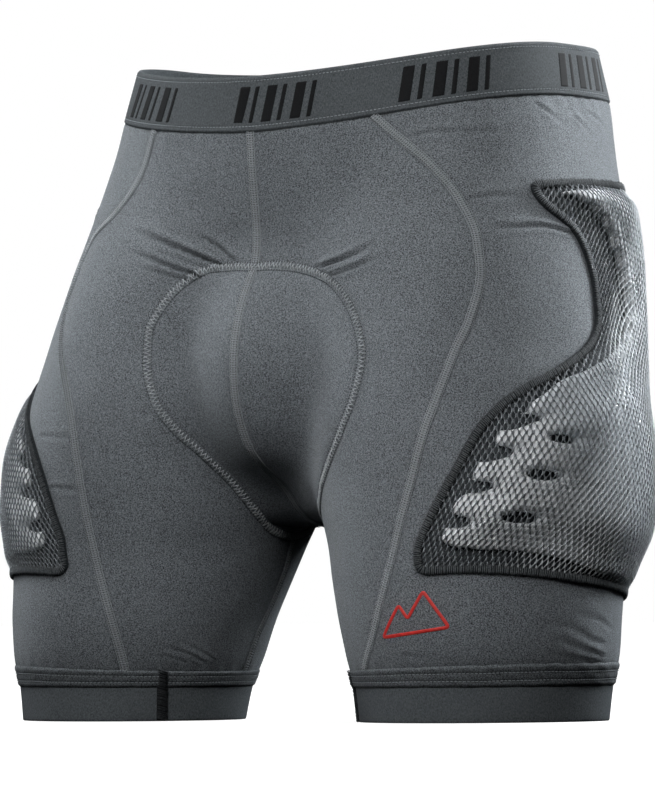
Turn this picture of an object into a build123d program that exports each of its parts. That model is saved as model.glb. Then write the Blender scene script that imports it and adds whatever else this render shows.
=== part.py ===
from build123d import *
import math
import os
import numpy as np

# ---------------------------------------------------------------------------
# Padded impact shorts, close fitting, as worn: short legs with elastic grippers,
# a jacquard waistband, a sewn-in seat pad and a padded mesh pocket on each hip.
# Units are millimetres.  +X is the wearer's left, the front faces -Y, +Z is up,
# and the hems rest on z = 0.
# ---------------------------------------------------------------------------
# driving dimensions
FABRIC_T = 1.2            # body fabric with its inner lining
PANEL_GAP = 0.35          # each panel stops this far short of its seam line
GRIPPER_H = 21.0          # elastic gripper at the end of each leg
GRIPPER_T = 1.6
HEM_TOP = 33.5            # top of the turned, twin-stitched hem
HEM_T = 2.2
WAIST_LOW = 371.0         # waistband, lower and upper edge at the side
WAIST_TOP = 403.5
WAIST_T = 2.6
WAIST_DIP_FRONT = 19.0    # how far the waist dips at the centre front
WAIST_DIP_REAR = -4.0
SEAM_W = 6.0              # flatlock seam
SEAM_T = 0.7
RING_W = 6.5              # cover stitch round the seat pad
BIND_W = 8.0              # binding round each mesh pocket
BIND_T = 1.6
MESH_T = 0.9              # spacer mesh of the pockets
PAD_T = 10.5              # hip pad foam at its thickest
PAD_EDGE_T = 3.0
CHAMOIS_T = 3.0           # base foam of the seat pad
SIT_PAD_T = 7.0           # raised foam on top of it
Y_SHIFT = 12.87            # puts the origin under the middle of the garment's box
CROTCH_ROW = 214.6        # chart row of the crotch point


# ---------------------------------------------------------------------------
# body form
# ---------------------------------------------------------------------------
def pchip(xs, ys):
    xs = np.asarray(xs, float); ys = np.asarray(ys, float)
    h = np.diff(xs); d = np.diff(ys) / h
    m = np.zeros(len(xs)); m[0] = d[0]; m[-1] = d[-1]
    for i in range(1, len(xs) - 1):
        if d[i-1] * d[i] > 0:
            w1 = 2*h[i] + h[i-1]; w2 = h[i] + 2*h[i-1]
            m[i] = (w1 + w2) / (w1/d[i-1] + w2/d[i])

    def f(x):
        x = np.clip(np.asarray(x, float), xs[0], xs[-1])
        i = np.clip(np.searchsorted(xs, x) - 1, 0, len(h) - 1)
        t = (x - xs[i]) / h[i]
        return ((1+2*t)*(1-t)**2*ys[i] + t*(1-t)**2*h[i]*m[i]
                + t*t*(3-2*t)*ys[i+1] + t*t*(t-1)*h[i]*m[i+1])
    return f


# torso sections: z, centre y, half width, front depth, rear depth
TORSO = np.array([
    [60, -50, 150, 80, 112], [110, -48, 165, 70, 118], [150, -45, 174, 62, 128],
    [195, -39, 181, 72, 137], [230, -33, 183, 80, 142], [265, -26, 180, 87, 139],
    [300, -18, 173, 99, 131], [335, -9, 163, 112, 122], [370, 0, 153, 122, 117],
    [405, 4, 143, 119, 109], [425, 5, 139, 117, 106]])
# leg sections: z, centre x, centre y, radius to the rear outer side, radius across it
LEG = np.array([
    [-5, 129, -70, 73.0, 67.2], [20, 128, -68.5, 76.0, 70.8], [40, 126.5, -67, 80.5, 76.7],
    [60, 124, -65.5, 83.0, 80.5], [80, 121, -62, 85.5, 84.5], [104, 118, -57, 89, 89.5],
    [125, 115, -53, 93, 94], [170, 107, -48, 96, 99], [220, 96, -46, 89, 93],
    [270, 84, -40, 82, 86], [320, 74, -28, 66, 72], [360, 68, -18, 50, 55]])
# chart spine: row, x, y, largest downward tilt of the inner rays in degrees, share of the waist dip
SPINE = np.array([
    [-10, 129, -65, 0, 0], [14, 128, -63, 0, 0], [40, 126, -61, 5, 0], [70, 122, -58, 16, 0],
    [120, 112, -48, 33, 0], [165, 100, -42, 44, 0], [205, 88, -38, 50, 0], [240, 76, -30, 40, 0.1],
    [280, 66, -20, 22, 0.35], [320, 58, -10, 10, 0.7], [360, 54, -2, 2, 1], [420, 52, 2, 0, 1]])
BUTTOCK = ((66, 56, 236), (80, 64, 88))
POUCH = ((0, -101, 210), (45, 38, 58))
TORSO_BOTTOM, TORSO_ROUND = 118.0, 215.0
tt = [pchip(TORSO[:, 0], TORSO[:, i]) for i in range(1, 5)]
lt = [pchip(LEG[:, 0], LEG[:, i]) for i in range(1, 5)]
st = [pchip(SPINE[:, 0], SPINE[:, i]) for i in range(1, 5)]


def smin(a, b, k):
    h = np.clip(0.5 + 0.5*(b - a)/k, 0, 1)
    return b*(1 - h) + a*h - k*h*(1 - h)


def ellipsoid(x, y, z, c, r):
    return (np.sqrt(((x-c[0])/r[0])**2 + ((y-c[1])/r[1])**2 + ((z-c[2])/r[2])**2) - 1)*min(r)


def torso(x, y, z):
    yc, a, bf, br = [f(z) for f in tt]
    b = np.where(y < yc, bf, br)
    s = np.sqrt(np.clip(1 - ((TORSO_ROUND - z)/(TORSO_ROUND - TORSO_BOTTOM))**2, 1e-4, 1))
    s = np.where(z >= TORSO_ROUND, 1, s)
    n = 2.25
    yc2 = yc*s - 44.0*(1 - s)
    q = (np.abs(x/(a*s))**n + np.abs((y - yc2)/(b*s))**n)**(1/n)
    return (q - 1)*np.minimum(a, b)*s + np.clip(TORSO_BOTTOM + 2 - z, 0, None)*1.2


def leg(x, y, z, side):
    xc, yc, a, b = [f(z) for f in lt]
    n = 2.1
    dx = side*x - xc; dy = y - yc
    u = (dx + dy)*0.70710678; v = (dx - dy)*0.70710678
    return ((np.abs(u/a)**n + np.abs(v/b)**n)**(1/n) - 1)*np.minimum(a, b)


def form(x, y, z):
    f = smin(torso(x, y, z), leg(x, y, z, 1), 26.0)
    f = smin(f, leg(x, y, z, -1), 26.0)
    f = smin(f, ellipsoid(x, y, z, *BUTTOCK), 18)
    f = smin(f, ellipsoid(-x, y, z, *BUTTOCK), 18)
    return smin(f, ellipsoid(x, y, z, *POUCH), 22)


def form_p(P):
    return form(P[..., 0], P[..., 1], P[..., 2])


def grad(P, e=0.5):
    g = np.stack([form_p(P + np.array(d)) - form_p(P - np.array(d))
                  for d in ((e, 0, 0), (0, e, 0), (0, 0, e))], -1)/(2*e)
    return g


def normal(P):
    g = grad(P)
    return g/np.linalg.norm(g, axis=-1, keepdims=True)


def on_form(P, n=6):
    for _ in range(n):
        g = grad(P)
        P = P - (form_p(P)/np.sum(g*g, -1))[..., None]*g
    return P


def surf(zs, al):
    """Point of the body at chart row zs and angle al (radians, 0 front, 90 degrees outward)."""
    zs, al = np.broadcast_arrays(np.asarray(zs, float), np.asarray(al, float))
    sh = zs.shape; zs = zs.ravel(); al = al.ravel()
    xs, ys, tau, share = [f(zs) for f in st]
    t = np.radians(tau)*((1 - np.sin(al))/2)**1.2
    c = np.cos((al + math.radians(24.2))*(180/229.4))
    dip = np.where(c > 0, WAIST_DIP_FRONT*np.abs(c)**2.2, WAIST_DIP_REAR*c*c)
    O = np.stack([xs, ys, zs - share*dip], -1)
    D = np.stack([np.sin(al)*np.cos(t), -np.cos(al)*np.cos(t), -np.sin(t)], -1)
    lo = np.zeros(len(zs)); hi = np.full(len(zs), 300.0)
    done = np.zeros(len(zs), bool)
    for i in range(1, 61):
        r = i*5.0
        k = np.where(~done)[0]
        if len(k) == 0:
            break
        out = form_p(O[k] + r*D[k]) > 0
        hi[k[out]] = r; lo[k[~out]] = r; done[k[out]] = True
    for _ in range(18):
        m = (lo + hi)/2
        o = form_p(O + m[:, None]*D) > 0
        hi = np.where(o, m, hi); lo = np.where(o, lo, m)
    return (O + ((lo + hi)/2)[:, None]*D).reshape(sh + (3,))


def rad(a):
    return np.asarray(a, float)*math.pi/180


# ---------------------------------------------------------------------------
# seam lines on the chart, (row, angle in degrees), one table for each side of the body
# ---------------------------------------------------------------------------
def table(rows):
    a = np.array(rows, float)
    return pchip(a[:, 0], a[:, 1])


FRONT_SIDE = {
    1: table([(34, -26), (51, -18), (82, -7.5), (111, 1), (136, 8), (165, 16.5), (192, 24), (211, 30.5),
              (229, 36.5), (243, 41.5), (270, 46), (288, 45.5), (312, 41), (336, 32), (364, 17.5), (372, 13.5)]),
    -1: table([(34, -29), (68, -22), (101, -13.5), (134, -4.5), (168, 4.5), (194, 11), (208, 15), (221, 21),
               (232, 28), (242, 35), (253, 41), (270, 45), (290, 44.5), (301, 42), (317, 31.5), (337, 22.5),
               (361, 16.5), (373, 14)])}
REAR_SIDE = table([(34, 206), (82, 190), (136, 174), (192, 160), (243, 148), (288, 143), (318, 145),
                   (340, 151), (375, 163)])


def crossing(row, x, lo, hi):
    """Angle in [lo, hi] degrees, nearest the outward side, where the body passes x."""
    a = np.linspace(lo, hi, 181)
    px = surf(np.full(181, float(row)), rad(a))[:, 0] - x
    if lo < 0:
        k = np.where(px <= 0)[0]; i = k[-1]; a0, a1 = a[i], a[i+1]
    else:
        k = np.where(px <= 0)[0]; i = k[0]; a0, a1 = a[i], a[i-1]
    for _ in range(16):
        m = (a0 + a1)/2
        if surf(row, rad(m))[0] - x <= 0:
            a0 = m
        else:
            a1 = m
    return (a0 + a1)/2


UPPER_ROWS = CROTCH_ROW + (WAIST_TOP + 1 - CROTCH_ROW)*np.linspace(0, 1, 25)[1:]**2
CF = [crossing(r, 0.0, -90, 20) for r in UPPER_ROWS]
CR = [crossing(r, 0.0, 160, 270) for r in UPPER_ROWS]
A_STAR = -84.4
# the centre seams open like a square root from the crotch, so they are tabled on that root
cf_f = pchip(np.r_[0, np.sqrt(UPPER_ROWS - CROTCH_ROW)], np.r_[A_STAR, CF])
cr_f = pchip(np.r_[0, np.sqrt(UPPER_ROWS - CROTCH_ROW)], np.r_[360 + A_STAR, CR])


def inner_front(row):
    """Front limit of the half garment: centre seam above the crotch, inseam below it."""
    row = np.asarray(row, float)
    up = cf_f(np.sqrt(np.clip(row - CROTCH_ROW, 0, None)))
    low = A_STAR + (-90 - A_STAR)*np.clip((CROTCH_ROW - row)/60.0, 0, 1)
    return np.where(row >= CROTCH_ROW, up, low)


def inner_rear(row):
    row = np.asarray(row, float)
    up = cr_f(np.sqrt(np.clip(row - CROTCH_ROW, 0, None)))
    low = 360 + A_STAR + (-90 - A_STAR)*np.clip((CROTCH_ROW - row)/60.0, 0, 1)
    return np.where(row >= CROTCH_ROW, up, low)


def at(row, deg, side):
    P = surf(row, rad(deg))
    P = P*np.array([side, 1, 1])
    return P


# ---------------------------------------------------------------------------
# solids from point grids
# ---------------------------------------------------------------------------
SHIFT = np.array([0, Y_SHIFT, 0])


def vecs(a):
    return [tuple(float(c) for c in p) for p in a]


def close_faces(faces, name):
    sh = Shell(faces)
    s = Solid(sh)
    if s.volume < 0:
        s = -s
    s.label = name
    return s


def ruled(a, b):
    return Face.make_surface_from_curves(a, b)


def line(p, q):
    return Edge.make_line(tuple(p), tuple(q))


def slab(outer, inner, name):
    """Closed solid between two point grids of one size: a smooth spline down each column,
    ruled faces from column to column."""
    outer = outer + SHIFT; inner = inner + SHIFT
    n = outer.shape[1]
    eo = [Edge.make_spline(vecs(outer[:, j])) for j in range(n)]
    ei = [Edge.make_spline(vecs(inner[:, j])) for j in range(n)]
    faces = [ruled(eo[j], eo[j+1]) for j in range(n - 1)] + [ruled(ei[j], ei[j+1]) for j in range(n - 1)]
    faces += [ruled(eo[0], ei[0]), ruled(eo[-1], ei[-1])]
    for k in (0, -1):
        for j in range(n - 1):
            faces.append(ruled(line(outer[k, j], outer[k, j+1]), line(inner[k, j], inner[k, j+1])))
    return close_faces(faces, name)


def ribbon(oa, ob, ib, ia, name, closed=False, flat_foot=False):
    """Closed solid of a strip from its four long edge lines: outer a, outer b, inner b, inner a.
    With flat_foot, the wall between the two b lines is one plane."""
    lines = [l + SHIFT for l in (oa, ob, ib, ia)]
    ed = [Edge.make_spline(vecs(l), periodic=closed) for l in lines]
    faces = [Face.make_surface_from_curves(ed[i], ed[(i+1) % 4]) for i in range(4)]
    if flat_foot:
        faces[1] = Face(Wire([ed[1]]), [Wire([ed[2]])])
    if not closed:
        for k in (0, -1):
            c = [Vector(*lines[i][k]) for i in range(4)]
            faces.append(Face.make_surface_from_curves(Edge.make_line(c[0], c[1]), Edge.make_line(c[3], c[2])))
    return close_faces(faces, name)


def strip_lines(path, half, lo, hi, closed=False):
    """Four edge lines of a strip laid on the body along a path of surface points."""
    P = on_form(np.asarray(path, float))
    N = normal(P)
    if closed:
        T = np.roll(P, -1, 0) - np.roll(P, 1, 0)
    else:
        T = np.gradient(P, axis=0)
    T /= np.linalg.norm(T, axis=1, keepdims=True)
    B = np.cross(N, T)
    out = []
    for s in (1, -1):
        Q = on_form(P + s*half*B)
        M = normal(Q)
        out.append((Q + hi*M, Q + lo*M))
    return out[0][0], out[1][0], out[1][1], out[0][1]


def resample(P, n, closed=False):
    P = np.asarray(P, float)
    if closed:
        P = np.vstack([P, P[:1]])
    d = np.r_[0, np.cumsum(np.linalg.norm(np.diff(P, axis=0), axis=1))]
    t = np.linspace(0, d[-1], n + 1 if closed else n)
    Q = np.stack([pchip(d, P[:, i])(t) for i in range(3)], -1)
    return Q[:-1] if closed else Q


SOLIDS = {}


def keep(name, *solids):
    SOLIDS[name] = solids[0] if len(solids) == 1 else Compound(children=list(solids))


# ---------------------------------------------------------------------------
# panels
# ---------------------------------------------------------------------------
def panel(fa, fb, side, name, low=HEM_TOP + 0.5, top=WAIST_LOW - 0.6, cols=11):
    lower = np.linspace(low, CROTCH_ROW, 10)
    upper = CROTCH_ROW + (top - CROTCH_ROW)*np.linspace(0, 1, 17)[1:]**1.6
    rows = np.r_[lower, upper]
    a, b = fa(rows), fb(rows)
    t = np.linspace(0, 1, cols)
    # keep clear of the seam lines by the panel gap
    rad_mm = 95.0
    g = math.degrees(PANEL_GAP/rad_mm)
    A = (a + g)[:, None]*(1 - t) + (b - g)[:, None]*t
    P = at(rows[:, None] + 0*A, A, side)
    xg = PANEL_GAP
    P[..., 0] = np.where(side*P[..., 0] < xg, side*xg, P[..., 0])
    N = normal(P)
    return slab(P, P - FABRIC_T*N, name)


for side, s in ((1, "left"), (-1, "right")):
    fs = FRONT_SIDE[side]
    keep("front_panel_" + s, panel(lambda r: inner_front(r), lambda r: fs(r), side, "front"))
    keep("side_panel_" + s, panel(lambda r: fs(r), lambda r: REAR_SIDE(r), side, "side", cols=15))
    keep("rear_panel_" + s, panel(lambda r: REAR_SIDE(r), lambda r: inner_rear(r), side, "rear"))

# ---------------------------------------------------------------------------
# waistband, hems and grippers: closed bands
# ---------------------------------------------------------------------------
def waist_line(row, n=36):
    """Closed line round the waist at one chart row, both halves, front centre first."""
    a = np.linspace(float(inner_front(row)), float(inner_rear(row)), n)
    L = at(np.full(n, row), a, 1)
    L[0, 0] = L[-1, 0] = 0
    R = L[::-1]*np.array([-1, 1, 1])
    return resample(np.vstack([L, R[1:-1]]), 64, True)


def band(low, high, lo_off, hi_off):
    """A band standing straight between two closed lines, offset along the normal."""
    Nl = normal(low); Nh = normal(high)
    for N in (Nl, Nh):
        N[:, 2] = 0
        N /= np.linalg.norm(N, axis=1, keepdims=True)
    return high + hi_off*Nh, low + hi_off*Nl, low + lo_off*Nl, high + lo_off*Nh


wl, wh = waist_line(WAIST_LOW), waist_line(WAIST_TOP)
keep("waistband_elastic", ribbon(*band(wl, wh, -WAIST_T + 0.9, 0.9), "waistband", closed=True))


def leg_line(row, side, n=48):
    a = -90 + 360.0*np.arange(n)/n
    return at(np.full(n, float(row)), a, side)


JOIN = {1: -47.0, -1: -47.0}
for side, s in ((1, "left"), (-1, "right")):
    l0, l1, l2 = leg_line(0, side), leg_line(GRIPPER_H - 0.2, side), leg_line(GRIPPER_H + 0.2, side)
    l0[:, 2] = 0
    l3 = leg_line(HEM_TOP, side)
    keep("leg_gripper_" + s, ribbon(*band(l0, l1, -GRIPPER_T, 0), "gripper", closed=True, flat_foot=True))
    keep("leg_hem_band_" + s, ribbon(*band(l2, l3, -HEM_T + 0.8, 0.8), "hem", closed=True))
    # silicone grip print inside the gripper, three rings
    rings = []
    for z in (5.0, 10.5, 16.0):
        a, b = leg_line(z - 1.3, side), leg_line(z + 1.3, side)
        rings.append(ribbon(*band(a, b, -GRIPPER_T - 0.7, -GRIPPER_T - 0.05), "grip", closed=True))
    keep("silicone_grip_rings_" + s, *rings)
    # overlocked join that closes the gripper and the hem into a loop
    rows = np.linspace(1.0, HEM_TOP - 1.0, 9)
    P = at(rows, np.full(9, JOIN[side]), side)
    keep("gripper_join_seam_" + s, ribbon(*strip_lines(P, 3.2, 0.9, 2.3), "join"))

# ---------------------------------------------------------------------------
# flatlock seams, on the outside over the panel joins
# ---------------------------------------------------------------------------
S_LO, S_HI = 0.3, 0.3 + SEAM_T
TOP, BOT = WAIST_LOW - 1.0, HEM_TOP + 1.6


def seam(path, name, n=30, half=SEAM_W/2):
    return ribbon(*strip_lines(resample(path, n), half, S_LO, S_HI), name)


rows = np.linspace(BOT, TOP, 60)
for side, s in ((1, "left"), (-1, "right")):
    keep("front_side_seam_" + s, seam(at(rows, FRONT_SIDE[side](rows), side), "seam"))
    keep("rear_side_seam_" + s, seam(at(rows, REAR_SIDE(rows), side), "seam"))
    r = np.linspace(BOT, CROTCH_ROW - 7, 40)
    keep("inseam_" + s, seam(at(r, inner_front(r), side), "seam", 20))
r = CROTCH_ROW + (TOP - CROTCH_ROW)*np.linspace(0, 1, 80)**2
front = at(r, inner_front(r), 1); front[:, 0] = 0
rear = at(r, inner_rear(r), 1); rear[:, 0] = 0
mid = (front[0] + rear[0])/2
keep("centre_front_seam", seam(np.vstack([mid[None], front[3:]]), "seam", 36))
centre = seam(np.vstack([mid[None] + np.array([0, 1.0, 0]), rear[3:]]), "seam", 36)
keep("centre_rear_seam", centre)

# ---------------------------------------------------------------------------
# seat pad (chamois): outline on the chart from the top front to the top rear
# ---------------------------------------------------------------------------
RING_FRONT = {
    1: [(302, -29.5), (300.5, -25), (297.5, -19.5), (286, -5), (272, 3.5), (256, 8), (241, 8.5), (225, 3.5),
        (215, -3.5), (206, -13), (199, -26), (194, -42), (190, -60)],
    -1: [(302, -29.5), (300.5, -24), (298, -17.5), (288, -8), (276, -3), (261, -0.5), (248, -2.5), (234, -8),
         (225, -17), (220, -27), (212, -42), (202, -55), (192, -68)]}
RING_REAR = [(187, -84), (187, -104), (191, -126), (199, -146), (212, -163), (230, -174), (248, -176),
             (263, -170), (273, -161), (277, -156)]


def ring_half(side):
    rows = np.array(RING_FRONT[side] + RING_REAR, float)
    a = rows[:, 1].copy()
    P = at(rows[:, 0], a, side)
    P[0, 0] = P[-1, 0] = 0
    return P


def ring_loop(n):
    L, R = ring_half(1), ring_half(-1)
    return on_form(resample(np.vstack([L, R[::-1][1:-1]]), n, True))


keep("chamois_cover_stitch", ribbon(*strip_lines(ring_loop(110), RING_W/2, 0.35, 0.85, True), "ring", closed=True))


def centre_line(z0f, z0r, n):
    """Centre line on the body from the front down under the crotch and up the rear."""
    r = CROTCH_ROW + (z0f - CROTCH_ROW)*np.linspace(0, 1, 60)**2
    f = at(r, inner_front(r), 1)
    r2 = CROTCH_ROW + (z0r - CROTCH_ROW)*np.linspace(0, 1, 60)**2
    b = at(r2, inner_rear(r2), 1)
    P = np.vstack([f[::-1][:-3], mid[None], b[3:]]); P[:, 0] = 0
    return on_form(resample(P, n))


def pad_grid(half_l, half_r, cen, u):
    """Points between the centre line and the two half outlines; u runs from -1 to 1."""
    G = np.zeros((len(cen), len(u), 3))
    for j, uu in enumerate(u):
        e = half_l if uu >= 0 else half_r
        G[:, j] = cen*(1 - abs(uu)) + e*abs(uu)
    for _ in range(2):
        G = on_form(G)
    return G


def chamois(t0, t1, width, lo, hi, name, rows=25, cols=9):
    cen = centre_line(299, 276, 101)
    hl = on_form(resample(ring_half(1), 101)); hr = on_form(resample(ring_half(-1), 101))
    t = np.linspace(t0, t1, rows)
    i = np.linspace(0, 100, 101)/100
    pick = lambda A: np.stack([np.interp(t, i, A[:, k]) for k in range(3)], -1)
    G = pad_grid(pick(hl), pick(hr), pick(cen), np.linspace(-width, width, cols))
    N = normal(G)
    w = np.ones(G.shape[:2])
    if hi - lo > 4:
        a = 1 - np.abs(np.linspace(-1, 1, rows))**4; b = 1 - np.abs(np.linspace(-1, 1, cols))**4
        w = 0.35 + 0.65*np.outer(a, b)
    return slab(G - lo*N, G - (lo + (hi - lo)*w)[..., None]*N, name)


C0 = FABRIC_T + 0.9
keep("chamois_base", chamois(0.03, 0.97, 0.9, C0, C0 + CHAMOIS_T, "chamois"))
keep("chamois_front_foam", chamois(0.10, 0.44, 0.5, C0 + CHAMOIS_T + 0.1, C0 + CHAMOIS_T + 5.0, "foam", 13))
keep("chamois_seat_foam", chamois(0.60, 0.93, 0.72, C0 + CHAMOIS_T + 0.1, C0 + CHAMOIS_T + SIT_PAD_T, "foam", 13))

# ---------------------------------------------------------------------------
# hip pockets: outline of the mesh on the chart, front edge from top to bottom
# ---------------------------------------------------------------------------
POCKET_FRONT = {
    1: [(316, 63.5), (305, 67.5), (297, 73), (287, 79), (269, 83.5), (252, 85.5), (234, 85.5), (220, 80.5),
        (206, 67.5), (194, 49.5), (181, 39), (164, 31.5), (146, 23.5), (130, 17), (114, 12.5), (103, 12.5)],
    -1: [(316, 63.5), (305, 67.5), (297, 73), (287, 79), (269, 83.5), (252, 85.5), (234, 85.5), (220, 80.5),
         (208, 67), (197, 49), (188, 36), (174, 25.5), (152, 15.5), (133, 8), (120, 4), (110, 5.5)]}
POCKET_REAR = [(319, 132), (300, 129), (275, 130), (243, 135), (192, 146), (140, 153), (100, 156), (73, 155)]
ROWS_P, COLS_P = 33, 17


def smooth_table(pts, n):
    """Evenly spaced chart points along a polyline of (row, angle), degrees taken as 1.6 mm."""
    a = np.array(pts, float)
    d = np.r_[0, np.cumsum(np.hypot(np.diff(a[:, 0]), 1.6*np.diff(a[:, 1])))]
    t = np.linspace(0, d[-1], n)
    return np.stack([pchip(d, a[:, 0])(t), pchip(d, a[:, 1])(t)], -1)


def pocket_uv(side, u, v):
    """Chart position inside the pocket: u 0 front to 1 rear, v 0 top to 1 bottom."""
    F = smooth_table(POCKET_FRONT[side], 201); R = smooth_table(POCKET_REAR, 201)
    i = np.linspace(0, 1, 201)
    f = np.stack([np.interp(v, i, F[:, k]) for k in (0, 1)], -1)
    r = np.stack([np.interp(v, i, R[:, k]) for k in (0, 1)], -1)
    q = f*(1 - u)[..., None] + r*u[..., None]
    # the lower edge falls towards the side of the leg and rises a little behind it
    q[..., 0] -= 7.0*np.sin(math.pi*u)*v**6
    return q


def pocket_grid(side, u, v):
    U, V = np.meshgrid(u, v)
    q = pocket_uv(side, U, V)
    return at(q[..., 0], q[..., 1], side), U, V


def crown(t, e):
    """1 in the middle, falling to 0 at both ends over the fraction e."""
    s = np.clip(np.minimum(t, 1 - t)/e, 0, 1)
    return np.sin(s*math.pi/2)


def outline_path(side, n):
    i = np.linspace(0, 1, 90)
    top = pocket_uv(side, i, 0*i)
    rear = pocket_uv(side, 0*i + 1, i)
    bot = pocket_uv(side, i[::-1], 0*i + 1)
    fr = pocket_uv(side, 0*i, i[::-1])
    q = np.vstack([top[:-1], rear[:-1], bot[:-1], fr[:-1]])
    return resample(at(q[:, 0], q[:, 1], side), n, True)


# the foam fills this window of the pocket; the mesh lies flat outside it
PU0, PU1, PV0, PV1 = 0.12, 0.94, 0.055, 0.945
PAD_U = np.array([0, 0.03, 0.08, 0.15, 0.25, 0.37, 0.5, 0.63, 0.75, 0.85, 0.92, 0.97, 1.0])
PAD_V = np.array([0, 0.015, 0.04, 0.08, 0.13, 0.19, 0.25, 0.31, 0.37, 0.43, 0.49, 0.55, 0.61, 0.67, 0.73, 0.79,
                  0.85, 0.9, 0.94, 0.97, 0.99, 1.0])
MESH_U = np.array([0.012, 0.045, 0.08, 0.112, 0.14, 0.18, 0.24, 0.32, 0.42, 0.53, 0.64, 0.74, 0.82, 0.88, 0.92,
                   0.945, 0.96, 0.975, 0.99])
MESH_V = np.array([0.008, 0.025, 0.04, 0.05, 0.065, 0.09, 0.12, 0.17, 0.23, 0.29, 0.35, 0.41, 0.47, 0.53, 0.59,
                   0.65, 0.71, 0.77, 0.83, 0.88, 0.915, 0.938, 0.951, 0.965, 0.98, 0.992])


def pad_thickness(p, q):
    """Foam thickness over the pad's own window, 0 to 1 each way."""
    return PAD_EDGE_T + (PAD_T - PAD_EDGE_T)*crown(p, 0.2)*crown(q, 0.1)


for side, s in ((1, "left"), (-1, "right")):
    G, U, V = pocket_grid(side, PU0 + (PU1 - PU0)*PAD_U, PV0 + (PV1 - PV0)*PAD_V)
    N = normal(G)
    T = pad_thickness((U - PU0)/(PU1 - PU0), (V - PV0)/(PV1 - PV0))
    keep("hip_pad_" + s, slab(G + (0.3 + T)[..., None]*N, G + 0.3*N, "pad"))
    # spacer mesh over the foam, flat against the side panel all round it
    G, U, V = pocket_grid(side, MESH_U, MESH_V)
    N = normal(G)
    p = (U - PU0)/(PU1 - PU0); q = (V - PV0)/(PV1 - PV0)
    over = (p > -0.02) & (p < 1.02) & (q > -0.01) & (q < 1.01)
    lift = np.where(over, 1.4 + pad_thickness(np.clip(p, 0, 1), np.clip(q, 0, 1)), 0.35)
    keep("hip_pocket_mesh_" + s, slab(G + (lift + MESH_T)[..., None]*N, G + lift[..., None]*N, "mesh"))
    P = outline_path(side, 90)
    keep("pocket_binding_" + s, ribbon(*strip_lines(P, BIND_W/2, 1.5, 1.5 + BIND_T, True), "bind", closed=True))

# ---------------------------------------------------------------------------
# tailbone pad in its own small mesh pocket, across the centre rear seam
# ---------------------------------------------------------------------------
TAIL_TOP, TAIL_BOTTOM, TAIL_HALF = 343.0, 250.0, 54.0


def tail_at(u, v):
    """Rear of the body at u -1 to 1 across and v 0 top to 1 bottom."""
    z = TAIL_TOP + (TAIL_BOTTOM - TAIL_TOP)*v
    x = u*TAIL_HALF*(1 - 0.36*v**1.6)
    z = z - 5.0*(1 - u*u)*v + 3.0*(1 - u*u)*(1 - v)
    return on_form(np.stack([x, 112.0 + 0*x, z], -1), 9)


def tail_thickness(p, q):
    return 3.0 + 5.5*crown(p, 0.25)*crown(q, 0.25)


u = np.array([0, 0.06, 0.14, 0.25, 0.38, 0.5, 0.62, 0.75, 0.86, 0.94, 1.0])
U, V = np.meshgrid(u, u)
G = tail_at((2*U - 1)*0.82, 0.10 + 0.80*V)
N = normal(G)
keep("tailbone_pad", slab(G + (1.6 + tail_thickness(U, V))[..., None]*N, G + 1.6*N, "tail pad"))
m = np.array([0.01, 0.04, 0.07, 0.092, 0.13, 0.19, 0.28, 0.39, 0.5, 0.61, 0.72, 0.81, 0.87, 0.908, 0.93, 0.96, 0.99])
U, V = np.meshgrid(m, m)
G = tail_at(2*U - 1, V)
N = normal(G)
p = ((2*U - 1)/0.82 + 1)/2; q = (V - 0.10)/0.80
over = (p > -0.012) & (p < 1.012) & (q > -0.012) & (q < 1.012)
lift = np.where(over, 2.3 + tail_thickness(np.clip(p, 0, 1), np.clip(q, 0, 1)), 1.5)
keep("tailbone_pocket_mesh", slab(G + (lift + MESH_T)[..., None]*N, G + lift[..., None]*N, "tail mesh"))
i = np.linspace(0, 1, 40)
loop = np.vstack([tail_at(2*i - 1, 0*i)[:-1], tail_at(0*i + 1, i)[:-1],
                  tail_at(1 - 2*i, 0*i + 1)[:-1], tail_at(0*i - 1, 1 - i)[:-1]])
keep("tailbone_binding", ribbon(*strip_lines(resample(loop, 56, True), BIND_W/2 - 0.5, 2.6, 2.6 + BIND_T, True),
                                "bind", closed=True))

# ---------------------------------------------------------------------------
# small pieces
# ---------------------------------------------------------------------------
# heat-transfer emblem on the front of the left leg: the outline of two peaks
E0 = (71.0, 6.5)


def emblem_path():
    pts = [(-22, -12), (-9, 7), (-3, -1), (7, 15), (23, -6)]
    P0 = at(np.array([E0[0]]), np.array([E0[1]]), 1)[0]
    n = normal(P0[None])[0]
    h = np.cross(np.array([0, 0, 1.0]), n); h /= np.linalg.norm(h)
    v = np.cross(n, h)
    a = np.array(pts + pts[:1], float)
    d = np.r_[0, np.cumsum(np.hypot(*np.diff(a, axis=0).T))]
    m = int(d[-1]/0.5)
    t = np.linspace(0, d[-1], m + 1)[:-1]
    q = np.stack([np.interp(t, d, a[:, i]) for i in (0, 1)], -1)
    # the corners are rounded, so the outline keeps its width through them
    k = np.arange(-12, 13)
    w = np.exp(-0.5*(k*0.5/1.6)**2); w /= w.sum()
    q = sum(wi*np.roll(q, -ki, 0) for wi, ki in zip(w, k))
    q = q[::3]
    return on_form(P0 + q[:, :1]*h + q[:, 1:]*v)


keep("leg_emblem", ribbon(*strip_lines(emblem_path(), 0.9, 0.08, 0.38, True), "emblem", closed=True))

# blank care label inside the centre back, its top edge caught under the waistband
cb = at(WAIST_LOW - 3.0, float(inner_rear(WAIST_LOW - 3.0)), 1); cb[0] = 0
u = np.linspace(-17, 17, 7); w = np.linspace(0, -42, 7)
UU, WW = np.meshgrid(u, w)
G = on_form(cb + UU[..., None]*np.array([1.0, 0, 0]) + WW[..., None]*np.array([0, 0, 1.0]))
N = normal(G)
keep("care_label", slab(G - 2.0*N, G - 2.35*N, "label"))

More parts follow.
